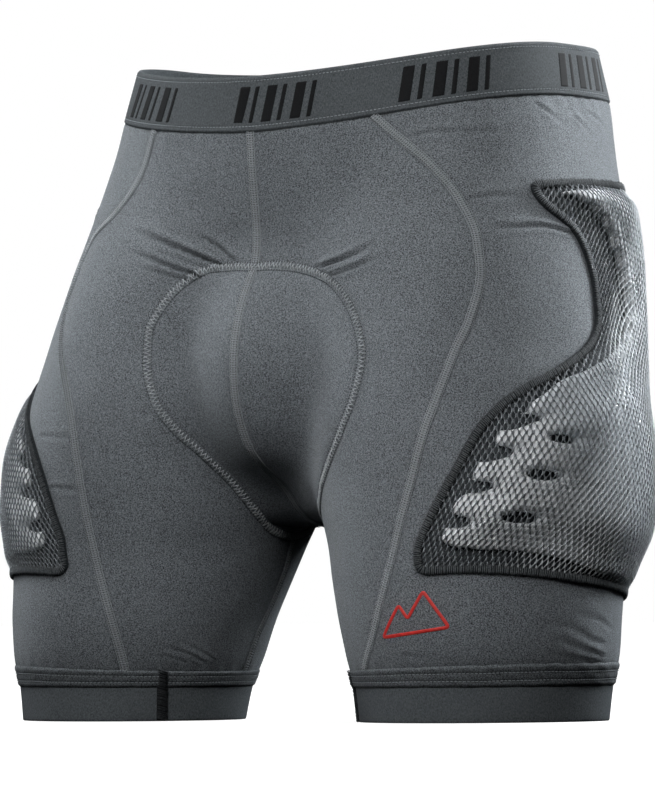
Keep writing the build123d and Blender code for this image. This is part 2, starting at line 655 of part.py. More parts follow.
# ---------------------------------------------------------------------------
os.makedirs("parts", exist_ok=True)
for name, solid in SOLIDS.items():
    export_step(solid, "parts/" + name + ".step")
box = Compound(children=list(SOLIDS.values())).bounding_box()
print(len(SOLIDS), "nodes; box", [round(v, 2) for v in (*box.min, *box.max)])
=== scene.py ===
import math
import time
import bpy
import numpy as np
from mathutils import Vector, Matrix


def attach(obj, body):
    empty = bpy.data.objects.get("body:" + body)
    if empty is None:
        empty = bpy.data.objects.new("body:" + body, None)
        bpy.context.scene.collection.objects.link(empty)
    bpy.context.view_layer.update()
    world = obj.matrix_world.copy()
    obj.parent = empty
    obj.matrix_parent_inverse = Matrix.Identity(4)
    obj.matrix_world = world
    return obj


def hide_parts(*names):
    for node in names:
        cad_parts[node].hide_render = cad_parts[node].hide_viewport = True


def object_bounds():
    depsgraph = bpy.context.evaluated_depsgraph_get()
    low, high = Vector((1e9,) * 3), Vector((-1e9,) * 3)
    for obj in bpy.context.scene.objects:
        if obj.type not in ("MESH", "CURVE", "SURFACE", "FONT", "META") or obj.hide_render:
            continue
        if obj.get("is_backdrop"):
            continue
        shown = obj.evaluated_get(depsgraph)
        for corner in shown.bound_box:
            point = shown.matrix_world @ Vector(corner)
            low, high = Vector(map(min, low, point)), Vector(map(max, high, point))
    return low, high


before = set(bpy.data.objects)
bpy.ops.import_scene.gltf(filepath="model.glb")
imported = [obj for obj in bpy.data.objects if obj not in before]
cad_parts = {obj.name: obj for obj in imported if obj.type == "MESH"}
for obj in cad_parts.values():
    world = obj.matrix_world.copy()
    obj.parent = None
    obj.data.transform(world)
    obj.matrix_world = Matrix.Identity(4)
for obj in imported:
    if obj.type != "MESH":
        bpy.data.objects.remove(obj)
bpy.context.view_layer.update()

T0 = time.time()
Y_SHIFT = 12.87
CROTCH = 214.6
GRIPPER_H, HEM_TOP, WAIST_LOW, WAIST_TOP = 21.0, 33.5, 371.0, 403.5
A_STAR = -84.4


def note(*a):
    print("[scene %.1fs]" % (time.time() - T0), *a)


# =====================================================================================
# body form, in millimetres, the same one that the CAD panels are cut from
# =====================================================================================
def pchip(xs, ys):
    xs = np.asarray(xs, float); ys = np.asarray(ys, float)
    h = np.diff(xs); d = np.diff(ys)/h
    m = np.zeros(len(xs)); m[0] = d[0]; m[-1] = d[-1]
    for i in range(1, len(xs) - 1):
        if d[i-1]*d[i] > 0:
            w1 = 2*h[i] + h[i-1]; w2 = h[i] + 2*h[i-1]
            m[i] = (w1 + w2)/(w1/d[i-1] + w2/d[i])

    def f(x):
        x = np.clip(np.asarray(x, float), xs[0], xs[-1])
        i = np.clip(np.searchsorted(xs, x) - 1, 0, len(h) - 1)
        t = (x - xs[i])/h[i]
        return ((1+2*t)*(1-t)**2*ys[i] + t*(1-t)**2*h[i]*m[i]
                + t*t*(3-2*t)*ys[i+1] + t*t*(t-1)*h[i]*m[i+1])
    return f


def quick_table(T):
    """The table's columns as fast lookups on a quarter millimetre grid."""
    T = np.array(T, float)
    g = np.arange(T[0, 0], T[-1, 0] + 0.3, 0.25)
    out = []
    for i in range(1, T.shape[1]):
        v = pchip(T[:, 0], T[:, i])(g)
        out.append(lambda z, v=v: np.interp(z, g, v))
    return out


TT = quick_table([
    [60, -50, 150, 80, 112], [110, -48, 165, 70, 118], [150, -45, 174, 62, 128],
    [195, -39, 181, 72, 137], [230, -33, 183, 80, 142], [265, -26, 180, 87, 139],
    [300, -18, 173, 99, 131], [335, -9, 163, 112, 122], [370, 0, 153, 122, 117],
    [405, 4, 143, 119, 109], [425, 5, 139, 117, 106]])
LT = quick_table([
    [-5, 129, -70, 73.0, 67.2], [20, 128, -68.5, 76.0, 70.8], [40, 126.5, -67, 80.5, 76.7],
    [60, 124, -65.5, 83.0, 80.5], [80, 121, -62, 85.5, 84.5], [104, 118, -57, 89, 89.5],
    [125, 115, -53, 93, 94], [170, 107, -48, 96, 99], [220, 96, -46, 89, 93],
    [270, 84, -40, 82, 86], [320, 74, -28, 66, 72], [360, 68, -18, 50, 55]])
ST = quick_table([
    [-10, 129, -65, 0, 0], [14, 128, -63, 0, 0], [40, 126, -61, 5, 0], [70, 122, -58, 16, 0],
    [120, 112, -48, 33, 0], [165, 100, -42, 44, 0], [205, 88, -38, 50, 0], [240, 76, -30, 40, 0.1],
    [280, 66, -20, 22, 0.35], [320, 58, -10, 10, 0.7], [360, 54, -2, 2, 1], [420, 52, 2, 0, 1]])
BUTTOCK = ((66, 56, 236), (80, 64, 88))
POUCH = ((0, -101, 210), (45, 38, 58))


def smin(a, b, k):
    h = np.clip(0.5 + 0.5*(b - a)/k, 0, 1)
    return b*(1 - h) + a*h - k*h*(1 - h)


def ellipsoid(x, y, z, c, r):
    return (np.sqrt(((x-c[0])/r[0])**2 + ((y-c[1])/r[1])**2 + ((z-c[2])/r[2])**2) - 1)*min(r)


def form(x, y, z):
    yc, a, bf, br = [f(z) for f in TT]
    b = np.where(y < yc, bf, br)
    s = np.sqrt(np.clip(1 - ((215.0 - z)/97.0)**2, 1e-4, 1))
    s = np.where(z >= 215.0, 1, s)
    yc2 = yc*s - 44.0*(1 - s)
    q = (np.abs(x/(a*s))**2.25 + np.abs((y - yc2)/(b*s))**2.25)**(1/2.25)
    # the scale changes smoothly from the front half to the rear half, so that the side line has no step
    w = np.clip((y - yc + 30.0)/60.0, 0, 1)
    w = w*w*(3 - 2*w)
    f = (q - 1)*np.minimum(a, bf*(1 - w) + br*w)*s + np.clip(120.0 - z, 0, None)*1.2
    xc, yl, a, b = [g(z) for g in LT]
    m = np.minimum(a, b)
    for side in (1, -1):
        dx = side*x - xc; dy = y - yl
        u = (dx + dy)*0.70710678; v = (dx - dy)*0.70710678
        f = smin(f, ((np.abs(u/a)**2.1 + np.abs(v/b)**2.1)**(1/2.1) - 1)*m, 26.0)
    f = smin(f, ellipsoid(x, y, z, *BUTTOCK), 18)
    f = smin(f, ellipsoid(-x, y, z, *BUTTOCK), 18)
    return smin(f, ellipsoid(x, y, z, *POUCH), 22)


def form_p(P):
    return form(P[..., 0], P[..., 1], P[..., 2])


def grad(P, e=0.4):
    return np.stack([form_p(P + np.array(d)) - form_p(P - np.array(d))
                     for d in ((e, 0, 0), (0, e, 0), (0, 0, e))], -1)/(2*e)


def unit(v):
    return v/(np.linalg.norm(v, axis=-1, keepdims=True) + 1e-12)


def normal(P):
    return unit(grad(P))


def on_form(P, n=3):
    for _ in range(n):
        g = grad(P)
        P = P - (form_p(P)/np.sum(g*g, -1))[..., None]*g
    return P


def surf(zs, deg):
    """Point of the body at chart row zs and angle deg, on the wearer's left half."""
    zs, al = np.broadcast_arrays(np.asarray(zs, float), np.radians(np.asarray(deg, float)))
    sh = zs.shape; zs = zs.ravel(); al = al.ravel()
    xs, ys, tau, share = [f(zs) for f in ST]
    t = np.radians(tau)*((1 - np.sin(al))/2)**1.2
    c = np.cos((al + math.radians(24.2))*(180/229.4))
    dip = np.where(c > 0, 19.0*np.abs(c)**2.2, -4.0*c*c)
    O = np.stack([xs, ys, zs - share*dip], -1)
    D = np.stack([np.sin(al)*np.cos(t), -np.cos(al)*np.cos(t), -np.sin(t)], -1)
    lo = np.zeros(len(zs)); hi = np.full(len(zs), 300.0)
    done = np.zeros(len(zs), bool)
    for i in range(1, 41):
        r = i*7.5
        k = np.where(~done)[0]
        if len(k) == 0:
            break
        out = form_p(O[k] + r*D[k]) > 0
        hi[k[out]] = r; lo[k[~out]] = r; done[k[out]] = True
    for _ in range(13):
        m = (lo + hi)/2
        o = form_p(O + m[:, None]*D) > 0
        hi = np.where(o, m, hi); lo = np.where(o, lo, m)
    return (O + ((lo + hi)/2)[:, None]*D).reshape(sh + (3,))


def at(row, deg, side=1):
    return surf(row, deg)*np.array([side, 1.0, 1.0])


def lerp_axis(A, idx, n, axis):
    """Fills an array known at positions idx out to n positions along one axis."""
    full = np.arange(n)
    j = np.clip(np.searchsorted(idx, full, side="right") - 1, 0, len(idx) - 2)
    t = (full - idx[j])/(idx[j+1] - idx[j])
    a = np.take(A, j, axis); b = np.take(A, j + 1, axis)
    sh = [1]*A.ndim; sh[axis] = n
    t = t.reshape(sh)
    return a*(1 - t) + b*t


def at_grid(R, A, side, step=4):
    """Body points for whole grids of rows R and angles A, cast coarsely and then settled."""
    nr, nc = A.shape
    ri = np.unique(np.r_[np.arange(0, nr, step), nr - 1]); ci = np.unique(np.r_[np.arange(0, nc, step), nc - 1])
    P = surf(R[np.ix_(ri, ci)], A[np.ix_(ri, ci)])
    P = lerp_axis(lerp_axis(P, ri, nr, 0), ci, nc, 1)
    P = on_form(P, 2)
    for j in (0, -1):
        P[:, j] = surf(R[:, j], A[:, j])
    P = P*np.array([side, 1.0, 1.0])
    return P


def table(rows):
    a = np.array(rows, float)
    return pchip(a[:, 0], a[:, 1])


FRONT_SIDE = {
    1: table([(34, -26), (51, -18), (82, -7.5), (111, 1), (136, 8), (165, 16.5), (192, 24), (211, 30.5),
              (229, 36.5), (243, 41.5), (270, 46), (288, 45.5), (312, 41), (336, 32), (364, 17.5), (372, 13.5)]),
    -1: table([(34, -29), (68, -22), (101, -13.5), (134, -4.5), (168, 4.5), (194, 11), (208, 15), (221, 21),
               (232, 28), (242, 35), (253, 41), (270, 45), (290, 44.5), (301, 42), (317, 31.5), (337, 22.5),
               (361, 16.5), (373, 14)])}
REAR_SIDE = table([(34, 206), (82, 190), (136, 174), (192, 160), (243, 148), (288, 143), (318, 145),
                   (340, 151), (375, 163)])


def crossing(rows, lo, hi):
    a = np.linspace(lo, hi, 121)
    px = surf(rows[:, None] + 0*a, a[None, :] + 0*rows[:, None])[..., 0]
    out = []
    for r in range(len(rows)):
        k = np.where(px[r] <= 0)[0]
        i = k[-1] if lo < 0 else k[0]
        o = i + 1 if lo < 0 else i - 1
        t = px[r, i]/(px[r, i] - px[r, o])
        out.append(a[i] + (a[o] - a[i])*t)
    return np.array(out)


UP = CROTCH + (WAIST_TOP + 1 - CROTCH)*np.linspace(0, 1, 25)[1:]**2
CF = crossing(UP, -90, 20); CR = crossing(UP, 160, 270)
cf_f = pchip(np.r_[0, np.sqrt(UP - CROTCH)], np.r_[A_STAR, CF])
cr_f = pchip(np.r_[0, np.sqrt(UP - CROTCH)], np.r_[360 + A_STAR, CR])


def inner_front(row):
    row = np.asarray(row, float)
    low = A_STAR + (-90 - A_STAR)*np.clip((CROTCH - row)/60.0, 0, 1)
    return np.where(row >= CROTCH, cf_f(np.sqrt(np.clip(row - CROTCH, 0, None))), low)


def inner_rear(row):
    row = np.asarray(row, float)
    low = 360 + A_STAR + (-90 - A_STAR)*np.clip((CROTCH - row)/60.0, 0, 1)
    return np.where(row >= CROTCH, cr_f(np.sqrt(np.clip(row - CROTCH, 0, None))), low)


def resample(P, n, closed=False):
    P = np.asarray(P, float)
    if closed:
        P = np.vstack([P, P[:1]])
    d = np.r_[0, np.cumsum(np.linalg.norm(np.diff(P, axis=0), axis=1))]
    keep = np.r_[True, np.diff(d) > 1e-6]
    P, d = P[keep], d[keep]
    t = np.linspace(0, d[-1], n + 1 if closed else n)
    Q = np.stack([pchip(d, P[:, i])(t) for i in range(P.shape[1])], -1)
    return Q[:-1] if closed else Q


def length(P, closed=False):
    if closed:
        P = np.vstack([P, P[:1]])
    return float(np.linalg.norm(np.diff(P, axis=0), axis=1).sum())


note("form ready")


# =====================================================================================
# meshes
# =====================================================================================
def to_world(P):
    return (np.asarray(P, float) + np.array([0, Y_SHIFT, 0]))/1000.0


def new_object(name, verts, quads, uv=None, mat=None, smooth=True, tris=None):
    """Object from millimetre points in design coordinates and faces; uv is one pair per face corner."""
    me = bpy.data.meshes.new(name)
    v = to_world(verts).reshape(-1, 3)
    quads = np.asarray(quads, np.int32).reshape(-1, 4)
    loops = quads.ravel()
    starts = np.arange(len(quads))*4
    totals = np.full(len(quads), 4)
    if tris is not None and len(tris):
        tris = np.asarray(tris, np.int32).reshape(-1, 3)
        starts = np.r_[starts, len(loops) + np.arange(len(tris))*3]
        loops = np.r_[loops, tris.ravel()]
        totals = np.r_[totals, np.full(len(tris), 3)]
    me.vertices.add(len(v)); me.vertices.foreach_set("co", v.astype(np.float32).ravel())
    me.loops.add(len(loops)); me.loops.foreach_set("vertex_index", loops.astype(np.int32))
    me.polygons.add(len(starts))
    me.polygons.foreach_set("loop_start", starts.astype(np.int32))
    me.polygons.foreach_set("loop_total", totals.astype(np.int32))
    me.update(calc_edges=True)
    me.validate()
    me.polygons.foreach_set("use_smooth", np.full(len(me.polygons), smooth))
    if uv is not None:
        layer = me.uv_layers.new(name="cloth")
        layer.data.foreach_set("uv", np.asarray(uv, np.float32).ravel())
    ob = bpy.data.objects.new(name, me)
    bpy.context.scene.collection.objects.link(ob)
    if mat is not None:
        me.materials.append(mat)
    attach(ob, "root")
    return ob


def shell(name, O, I, closed=False, U=None, V=None, mat=None, replaces=(), cap_ends=True):
    """Closed cloth shell between an outer and an inner grid (rows, columns). U and V are millimetre
    coordinates for the weave; when closed, they have one column more than the points."""
    R, C = O.shape[:2]
    n = R*C
    j = np.arange(C if closed else C - 1); i = np.arange(R - 1)
    ii, jj = np.meshgrid(i, j, indexing="ij")
    j1 = (jj + 1) % C
    a, b, c, d = ii*C + jj, ii*C + j1, (ii + 1)*C + j1, (ii + 1)*C + jj
    q = np.stack([a, b, c, d], -1).reshape(-1, 4)
    if U is None:
        U = np.broadcast_to(np.arange(C + (1 if closed else 0))*1.0, (R, C + (1 if closed else 0)))
        V = np.broadcast_to(np.arange(R)[:, None]*1.0, U.shape)
    W = np.stack([U, V], -1)
    wq = np.stack([W[ii, jj], W[ii, jj + 1], W[ii + 1, jj + 1], W[ii + 1, jj]], -2).reshape(-1, 4, 2)
    # outward when the quad's own normal agrees with outer minus inner
    m = len(q)//2
    Pf = O.reshape(-1, 3); Qf = I.reshape(-1, 3)
    s = slice(0, len(q), max(1, len(q)//400))
    nn = np.cross(Pf[q[s, 2]] - Pf[q[s, 0]], Pf[q[s, 3]] - Pf[q[s, 1]])
    flip = np.sum(nn*(Pf[q[s, 0]] - Qf[q[s, 0]])) < 0
    if flip:
        q = q[:, ::-1]; wq = wq[:, ::-1]
    qi = q[:, ::-1] + n; wi = wq[:, ::-1]
    rims, wr = [], []

    def rim(ids, w):
        """Side wall along a chain of outer points."""
        a = ids[:-1]; b = ids[1:]
        k = np.stack([b, a, a + n, b + n], -1)
        ww = np.stack([w[1:], w[:-1], w[:-1], w[1:]], -2)
        if flip:
            k = k[:, ::-1]; ww = ww[:, ::-1]
        rims.append(k); wr.append(ww)
    cols = np.arange(C)
    if closed:
        cols = np.r_[cols, 0]
    rim(cols, W[0]); rim(((R - 1)*C + cols)[::-1], W[-1][::-1])
    if not closed:
        rows = np.arange(R)*C
        rim((rows)[::-1], W[:, 0][::-1]); rim(rows + C - 1, W[:, -1])
    faces = np.vstack([q, qi] + rims)
    uv = np.vstack([wq, wi] + wr)
    ob = new_object(name, np.vstack([Pf, Qf]), faces, uv, mat)
    if replaces:
        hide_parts(*([replaces] if isinstance(replaces, str) else replaces))
    return ob


def grid_normal(P):
    """Normals of a point grid from its own shape, turned to agree with the body's."""
    du = np.gradient(P, axis=1); dv = np.gradient(P, axis=0)
    N = unit(np.cross(du, dv))
    k = (P.shape[0]//2, P.shape[1]//2)
    if np.dot(N[k], normal(P[k][None])[0]) < 0:
        N = -N
    return N


def threads(name, P, N, r, mat, sides=5, taper=0.55):
    """Many short threads at once: P and N are (threads, points, 3)."""
    S, K = P.shape[:2]
    T = unit(np.gradient(P, axis=1)); B = unit(np.cross(T, N)); M = np.cross(B, T)
    ang = 2*np.pi*(np.arange(sides) + 0.5)/sides
    w = np.ones(K); w[0] = w[-1] = taper
    ring = (np.cos(ang)[:, None, None]*0 + 0)
    V = (P[:, :, None, :] + r*w[None, :, None, None]*(np.cos(ang)[None, None, :, None]*B[:, :, None, :]
         + np.sin(ang)[None, None, :, None]*M[:, :, None, :]))
    V = V.reshape(S, K*sides, 3)
    ends = np.stack([P[:, 0] - T[:, 0]*r*0.5, P[:, -1] + T[:, -1]*r*0.5], 1)
    V = np.concatenate([V, ends], 1)
    per = K*sides + 2
    q, t = [], []
    for k in range(K - 1):
        for s in range(sides):
            s1 = (s + 1) % sides
            q.append((k*sides + s, (k+1)*sides + s, (k+1)*sides + s1, k*sides + s1))
    for s in range(sides):
        s1 = (s + 1) % sides
        t.append((K*sides, s, s1)); t.append((K*sides + 1, (K-1)*sides + s1, (K-1)*sides + s))
    q = np.array(q)[None] + (np.arange(S)*per)[:, None, None]
    t = np.array(t)[None] + (np.arange(S)*per)[:, None, None]
    ob = new_object(name, V.reshape(-1, 3), q.reshape(-1, 4)[:, ::-1], None, mat, True, t.reshape(-1, 3)[:, ::-1])
    return ob


def wave(P, k, seed):
    """Smooth repeatable undulation of the cloth, about -1 to 1."""
    r = np.random.RandomState(seed)
    f = 0
    for _ in range(6):
        d = r.normal(size=3); d /= np.linalg.norm(d)
        f = f + np.sin((P @ d)/k*(0.7 + 0.6*r.rand()) + r.rand()*6.28)
    return f/3.0


# =====================================================================================
# materials
# =====================================================================================
def nodes_of(mat):
    mat.use_nodes = True
    nt = mat.node_tree
    for n in list(nt.nodes):
        nt.nodes.remove(n)
    out = nt.nodes.new("ShaderNodeOutputMaterial")
    p = nt.nodes.new("ShaderNodeBsdfPrincipled")
    nt.links.new(p.outputs[0], out.inputs[0])
    return nt, p


def srgb(r, g, b):
    f = lambda c: c/12.92 if c <= 0.04045 else ((c + 0.055)/1.055)**2.4
    return (f(r/255), f(g/255), f(b/255), 1)


def mapping(nt, kind, scale=(1, 1, 1), rot=(0, 0, 0)):
    tc = nt.nodes.new("ShaderNodeTexCoord")
    mp = nt.nodes.new("ShaderNodeMapping")
    mp.inputs["Scale"].default_value = scale
    mp.inputs["Rotation"].default_value = rot
    nt.links.new(tc.outputs[kind], mp.inputs[0])
    return mp.outputs[0]


def noise(nt, vec, scale, detail=3, rough=0.6):
    n = nt.nodes.new("ShaderNodeTexNoise")
    n.inputs["Scale"].default_value = scale
    n.inputs["Detail"].default_value = detail
    n.inputs["Roughness"].default_value = rough
    nt.links.new(vec, n.inputs["Vector"])
    return n.outputs["Fac"]


def wave_tex(nt, vec, scale, direction="X", profile="SIN", dist=0.0):
    n = nt.nodes.new("ShaderNodeTexWave")
    n.wave_type = "BANDS"; n.bands_direction = direction; n.wave_profile = profile
    n.inputs["Scale"].default_value = scale
    n.inputs["Distortion"].default_value = dist
    nt.links.new(vec, n.inputs["Vector"])
    return n.outputs["Fac"]


def ramp(nt, fac, stops):
    n = nt.nodes.new("ShaderNodeValToRGB")
    el = n.color_ramp.elements
    while len(el) < len(stops):
        el.new(0.5)
    for e, (p, c) in zip(el, stops):
        e.position = p; e.color = c
    nt.links.new(fac, n.inputs[0])
    return n.outputs[0]


def math_node(nt, op, a, b=None):
    n = nt.nodes.new("ShaderNodeMath"); n.operation = op
    for i, v in enumerate((a, b)):
        if v is None:
            continue
        if isinstance(v, (int, float)):
            n.inputs[i].default_value = v
        else:
            nt.links.new(v, n.inputs[i])
    return n.outputs[0]


def mix_col(nt, fac, a, b, mode="MIX"):
    n = nt.nodes.new("ShaderNodeMix"); n.data_type = "RGBA"; n.blend_type = mode
    for s, v in ((n.inputs[0], fac), (n.inputs[6], a), (n.inputs[7], b)):
        if isinstance(v, (int, float, tuple)):
            s.default_value = v
        else:
            nt.links.new(v, s)
    return n.outputs[2]


def bump(nt, p, h, strength, dist):
    n = nt.nodes.new("ShaderNodeBump")
    n.inputs["Strength"].default_value = strength
    n.inputs["Distance"].default_value = dist
    nt.links.new(h, n.inputs["Height"])
    nt.links.new(n.outputs[0], p.inputs["Normal"])


def painted_occlusion_shade(nt, col, depth, dist=0.06):
    """Painted shade: colour darkened by the ambient occlusion node where the cloth is close to other cloth, in folds
    and gaps.
    """
    ao = nt.nodes.new("ShaderNodeAmbientOcclusion")
    ao.samples = 6
    ao.inputs["Distance"].default_value = dist
    return mix_col(nt, depth, col, mix_col(nt, 1.0, col, ao.outputs["Color"], "MULTIPLY"))


def knit_material(name, dark, light, rough=0.85, sheen=0.35, grain=1.0, pitch=0.9, bumpiness=0.35, tint=(0.88, 0.94, 1, 1),
                  depth=0.8):
    """Heathered warp knit: fine wales and courses, mottled yarn colour, soft sheen."""
    mat = bpy.data.materials.new(name)
    nt, p = nodes_of(mat)
    uv = mapping(nt, "UV")
    obj = mapping(nt, "Object")
    fine = noise(nt, obj, 1250, 2, 0.7)                      # yarn mottling under 1 mm
    streak = noise(nt, mapping(nt, "UV", (0.75, 1.5, 1)), 1.5, 2, 0.65)
    broad = noise(nt, obj, 18, 3, 0.5)
    f = math_node(nt, "ADD", math_node(nt, "MULTIPLY", fine, 0.5), math_node(nt, "MULTIPLY", streak, 0.5))
    f = math_node(nt, "ADD", math_node(nt, "MULTIPLY", math_node(nt, "SUBTRACT", f, 0.5), 2.1*grain), 0.5)
    f = math_node(nt, "ADD", f, math_node(nt, "MULTIPLY", math_node(nt, "SUBTRACT", broad, 0.5), 0.35))
    col = ramp(nt, f, [(0.0, dark), (1.0, light)])
    # painted shade: ambient occlusion darkens the base colour in folds and close gaps, as strongly as depth
    nt.links.new(painted_occlusion_shade(nt, col, depth), p.inputs["Base Color"])
    wales = wave_tex(nt, mapping(nt, "UV", (1/pitch, 1/pitch, 1)), 0.5, "X")
    courses = wave_tex(nt, mapping(nt, "UV", (1/pitch, 1.35/pitch, 1)), 0.5, "Y", "SIN")
    h = math_node(nt, "ADD", math_node(nt, "MULTIPLY", wales, 0.55), math_node(nt, "MULTIPLY", courses, 0.3))
    h = math_node(nt, "ADD", h, math_node(nt, "MULTIPLY", fine, 0.8))
    bump(nt, p, h, bumpiness, 0.0004)
    rr = math_node(nt, "ADD", math_node(nt, "MULTIPLY", fine, 0.12), rough - 0.06)
    nt.links.new(rr, p.inputs["Roughness"])
    p.inputs["Specular IOR Level"].default_value = 0.32
    p.inputs["Sheen Weight"].default_value = sheen
    p.inputs["Sheen Roughness"].default_value = 0.45
    p.inputs["Sheen Tint"].default_value = tint
    return mat


M = {}
M["body"] = knit_material("body_knit", srgb(34, 38, 41), srgb(140, 146, 151), sheen=0.30, grain=2.5, bumpiness=0.45)
M["hem"] = knit_material("hem_knit", srgb(30, 34, 37), srgb(128, 134, 138), sheen=0.12, grain=2.4)
# darker cloth for a sheet under the nets: its colour is painted shade beneath the mesh
M["lining"] = knit_material("lining_knit", srgb(52, 57, 61), srgb(92, 98, 102), sheen=0.05, depth=0.6)
M["seam"] = knit_material("seam_tape", srgb(96, 103, 108), srgb(182, 188, 192), sheen=0.25, grain=1.4, pitch=0.7, depth=0.5)
M["thread"] = knit_material("seam_thread", srgb(128, 135, 140), srgb(208, 213, 216), rough=0.7, sheen=0.15, depth=0.5)
M["ring_thread"] = knit_material("ring_thread", srgb(112, 118, 123), srgb(206, 211, 214), rough=0.75, sheen=0.15,
                                 grain=1.9, depth=0.4)
M["ring_tape"] = knit_material("ring_tape", srgb(84, 90, 94), srgb(150, 156, 160), sheen=0.1, grain=1.5, depth=0.4)
M["join"] = knit_material("join_thread", srgb(8, 9, 10), srgb(34, 37, 40), rough=0.8, sheen=0.05, grain=1.6)
M["dark_thread"] = knit_material("dark_thread", srgb(16, 18, 20), srgb(58, 62, 66), rough=0.75, sheen=0.15, grain=1.6)
M["loop_thread"] = knit_material("loop_thread", srgb(38, 42, 45), srgb(120, 125, 128), rough=0.7, sheen=0.15, grain=1.8)
M["hem_thread"] = knit_material("hem_thread", srgb(92, 98, 103), srgb(176, 182, 186), rough=0.75, sheen=0.15, depth=0.5)
M["bind_thread"] = knit_material("bind_thread", srgb(30, 34, 38), srgb(70, 76, 81), rough=0.75, sheen=0.1, depth=0.5)
M["chamois"] = knit_material("chamois_cloth", srgb(40, 44, 49), srgb(70, 76, 82), sheen=0.25, pitch=0.6)


def elastic_material(name, dark, light, rib=1.1, strength=0.4, vertical=True, sheen=0.15):
    """Woven elastic: fine warp ribs, heathered yarn."""
    mat = bpy.data.materials.new(name)
    nt, p = nodes_of(mat)
    obj = mapping(nt, "Object")
    fine = noise(nt, obj, 1000, 2, 0.7)
    streak = noise(nt, mapping(nt, "UV", (1.6, 0.5, 1) if vertical else (0.4, 1.6, 1)), 1.2, 2, 0.65)
    f = math_node(nt, "ADD", math_node(nt, "MULTIPLY", fine, 0.5), math_node(nt, "MULTIPLY", streak, 0.5))
    f = math_node(nt, "ADD", math_node(nt, "MULTIPLY", math_node(nt, "SUBTRACT", f, 0.5), 2.4), 0.5)
    # painted shade: ambient occlusion darkens the base colour where the band lies close to other parts
    nt.links.new(painted_occlusion_shade(nt, ramp(nt, f, [(0, dark), (1, light)]), 0.6), p.inputs["Base Color"])
    ribs = wave_tex(nt, mapping(nt, "UV", (1/rib, 1/rib, 1)), 0.5, "X" if vertical else "Y")
    weft = wave_tex(nt, mapping(nt, "UV", (1/0.8, 1/0.8, 1)), 0.5, "Y" if vertical else "X")
    h = math_node(nt, "ADD", math_node(nt, "MULTIPLY", ribs, 0.8), math_node(nt, "MULTIPLY", weft, 0.35))
    h = math_node(nt, "ADD", h, math_node(nt, "MULTIPLY", fine, 0.6))
    bump(nt, p, h, strength, 0.0004)
    p.inputs["Roughness"].default_value = 0.8
    p.inputs["Specular IOR Level"].default_value = 0.15
    p.inputs["Sheen Weight"].default_value = sheen
    p.inputs["Sheen Tint"].default_value = (0.88, 0.94, 1, 1)
    return mat


M["waist"] = elastic_material("waist_elastic", srgb(40, 44, 47), srgb(100, 105, 108), sheen=0.02)
M["jacquard"] = elastic_material("jacquard_yarn", srgb(7, 7, 8), srgb(26, 27, 29), rib=0.9, strength=0.6, sheen=0.0)
M["gripper"] = elastic_material("gripper_elastic", srgb(58, 63, 67), srgb(132, 138, 142), rib=0.8, strength=0.35, sheen=0.05)
M["binding"] = elastic_material("binding_tape", srgb(10, 12, 14), srgb(44, 49, 53), rib=1.3, strength=0.5)


def foam_material(name, a, b, shaded_side_colour=None, x0=0.0, x1=1.0):
    mat = bpy.data.materials.new(name)
    nt, p = nodes_of(mat)
    obj = mapping(nt, "Object")
    f = noise(nt, obj, 300, 4, 0.6)
    col = ramp(nt, f, [(0.25, a), (0.75, b)])
    if shaded_side_colour is not None:
        # painted shade: the foam turns grey where it turns to the side, over a band across the front-outer diagonal,
        # fading out higher up
        sp = nt.nodes.new("ShaderNodeSeparateXYZ"); nt.links.new(obj, sp.inputs[0])
        yy = math_node(nt, "ADD", sp.outputs[1], math_node(nt, "MULTIPLY", sp.outputs[2], 0.18))
        t = math_node(nt, "DIVIDE", math_node(nt, "SUBTRACT", yy, x0), x1 - x0)
        t = math_node(nt, "ADD", t, math_node(nt, "MULTIPLY", math_node(nt, "SUBTRACT", f, 0.5), 0.5))
        cl = nt.nodes.new("ShaderNodeClamp"); nt.links.new(t, cl.inputs[0])
        hi = nt.nodes.new("ShaderNodeMapRange"); hi.interpolation_type = "SMOOTHSTEP"
        hi.inputs["From Min"].default_value = 0.195; hi.inputs["From Max"].default_value = 0.235
        hi.inputs["To Min"].default_value = 1.0; hi.inputs["To Max"].default_value = 0.0
        nt.links.new(sp.outputs[2], hi.inputs["Value"])
        col = mix_col(nt, math_node(nt, "MULTIPLY", cl.outputs[0], hi.outputs[0]), col, shaded_side_colour)
    # painted shade: ambient occlusion darkens the foam where the net and cloth lie close over it
    nt.links.new(painted_occlusion_shade(nt, col, 0.12, 0.008), p.inputs["Base Color"])
    v = nt.nodes.new("ShaderNodeTexVoronoi"); v.inputs["Scale"].default_value = 1400
    nt.links.new(obj, v.inputs["Vector"])
    bump(nt, p, v.outputs["Distance"], 0.25, 0.0003)
    p.inputs["Roughness"].default_value = 0.75
    p.inputs["Subsurface Weight"].default_value = 0.08
    p.inputs["Subsurface Radius"].default_value = (0.003, 0.003, 0.003)
    return mat


# the third colour is painted shade for the part of the pad turned to the side
M["foam"] = foam_material("pale_foam", srgb(226, 230, 234), srgb(248, 250, 252), srgb(196, 202, 207), -0.066, -0.046)
M["tail_foam"] = foam_material("grey_foam", srgb(112, 120, 126), srgb(150, 158, 164))


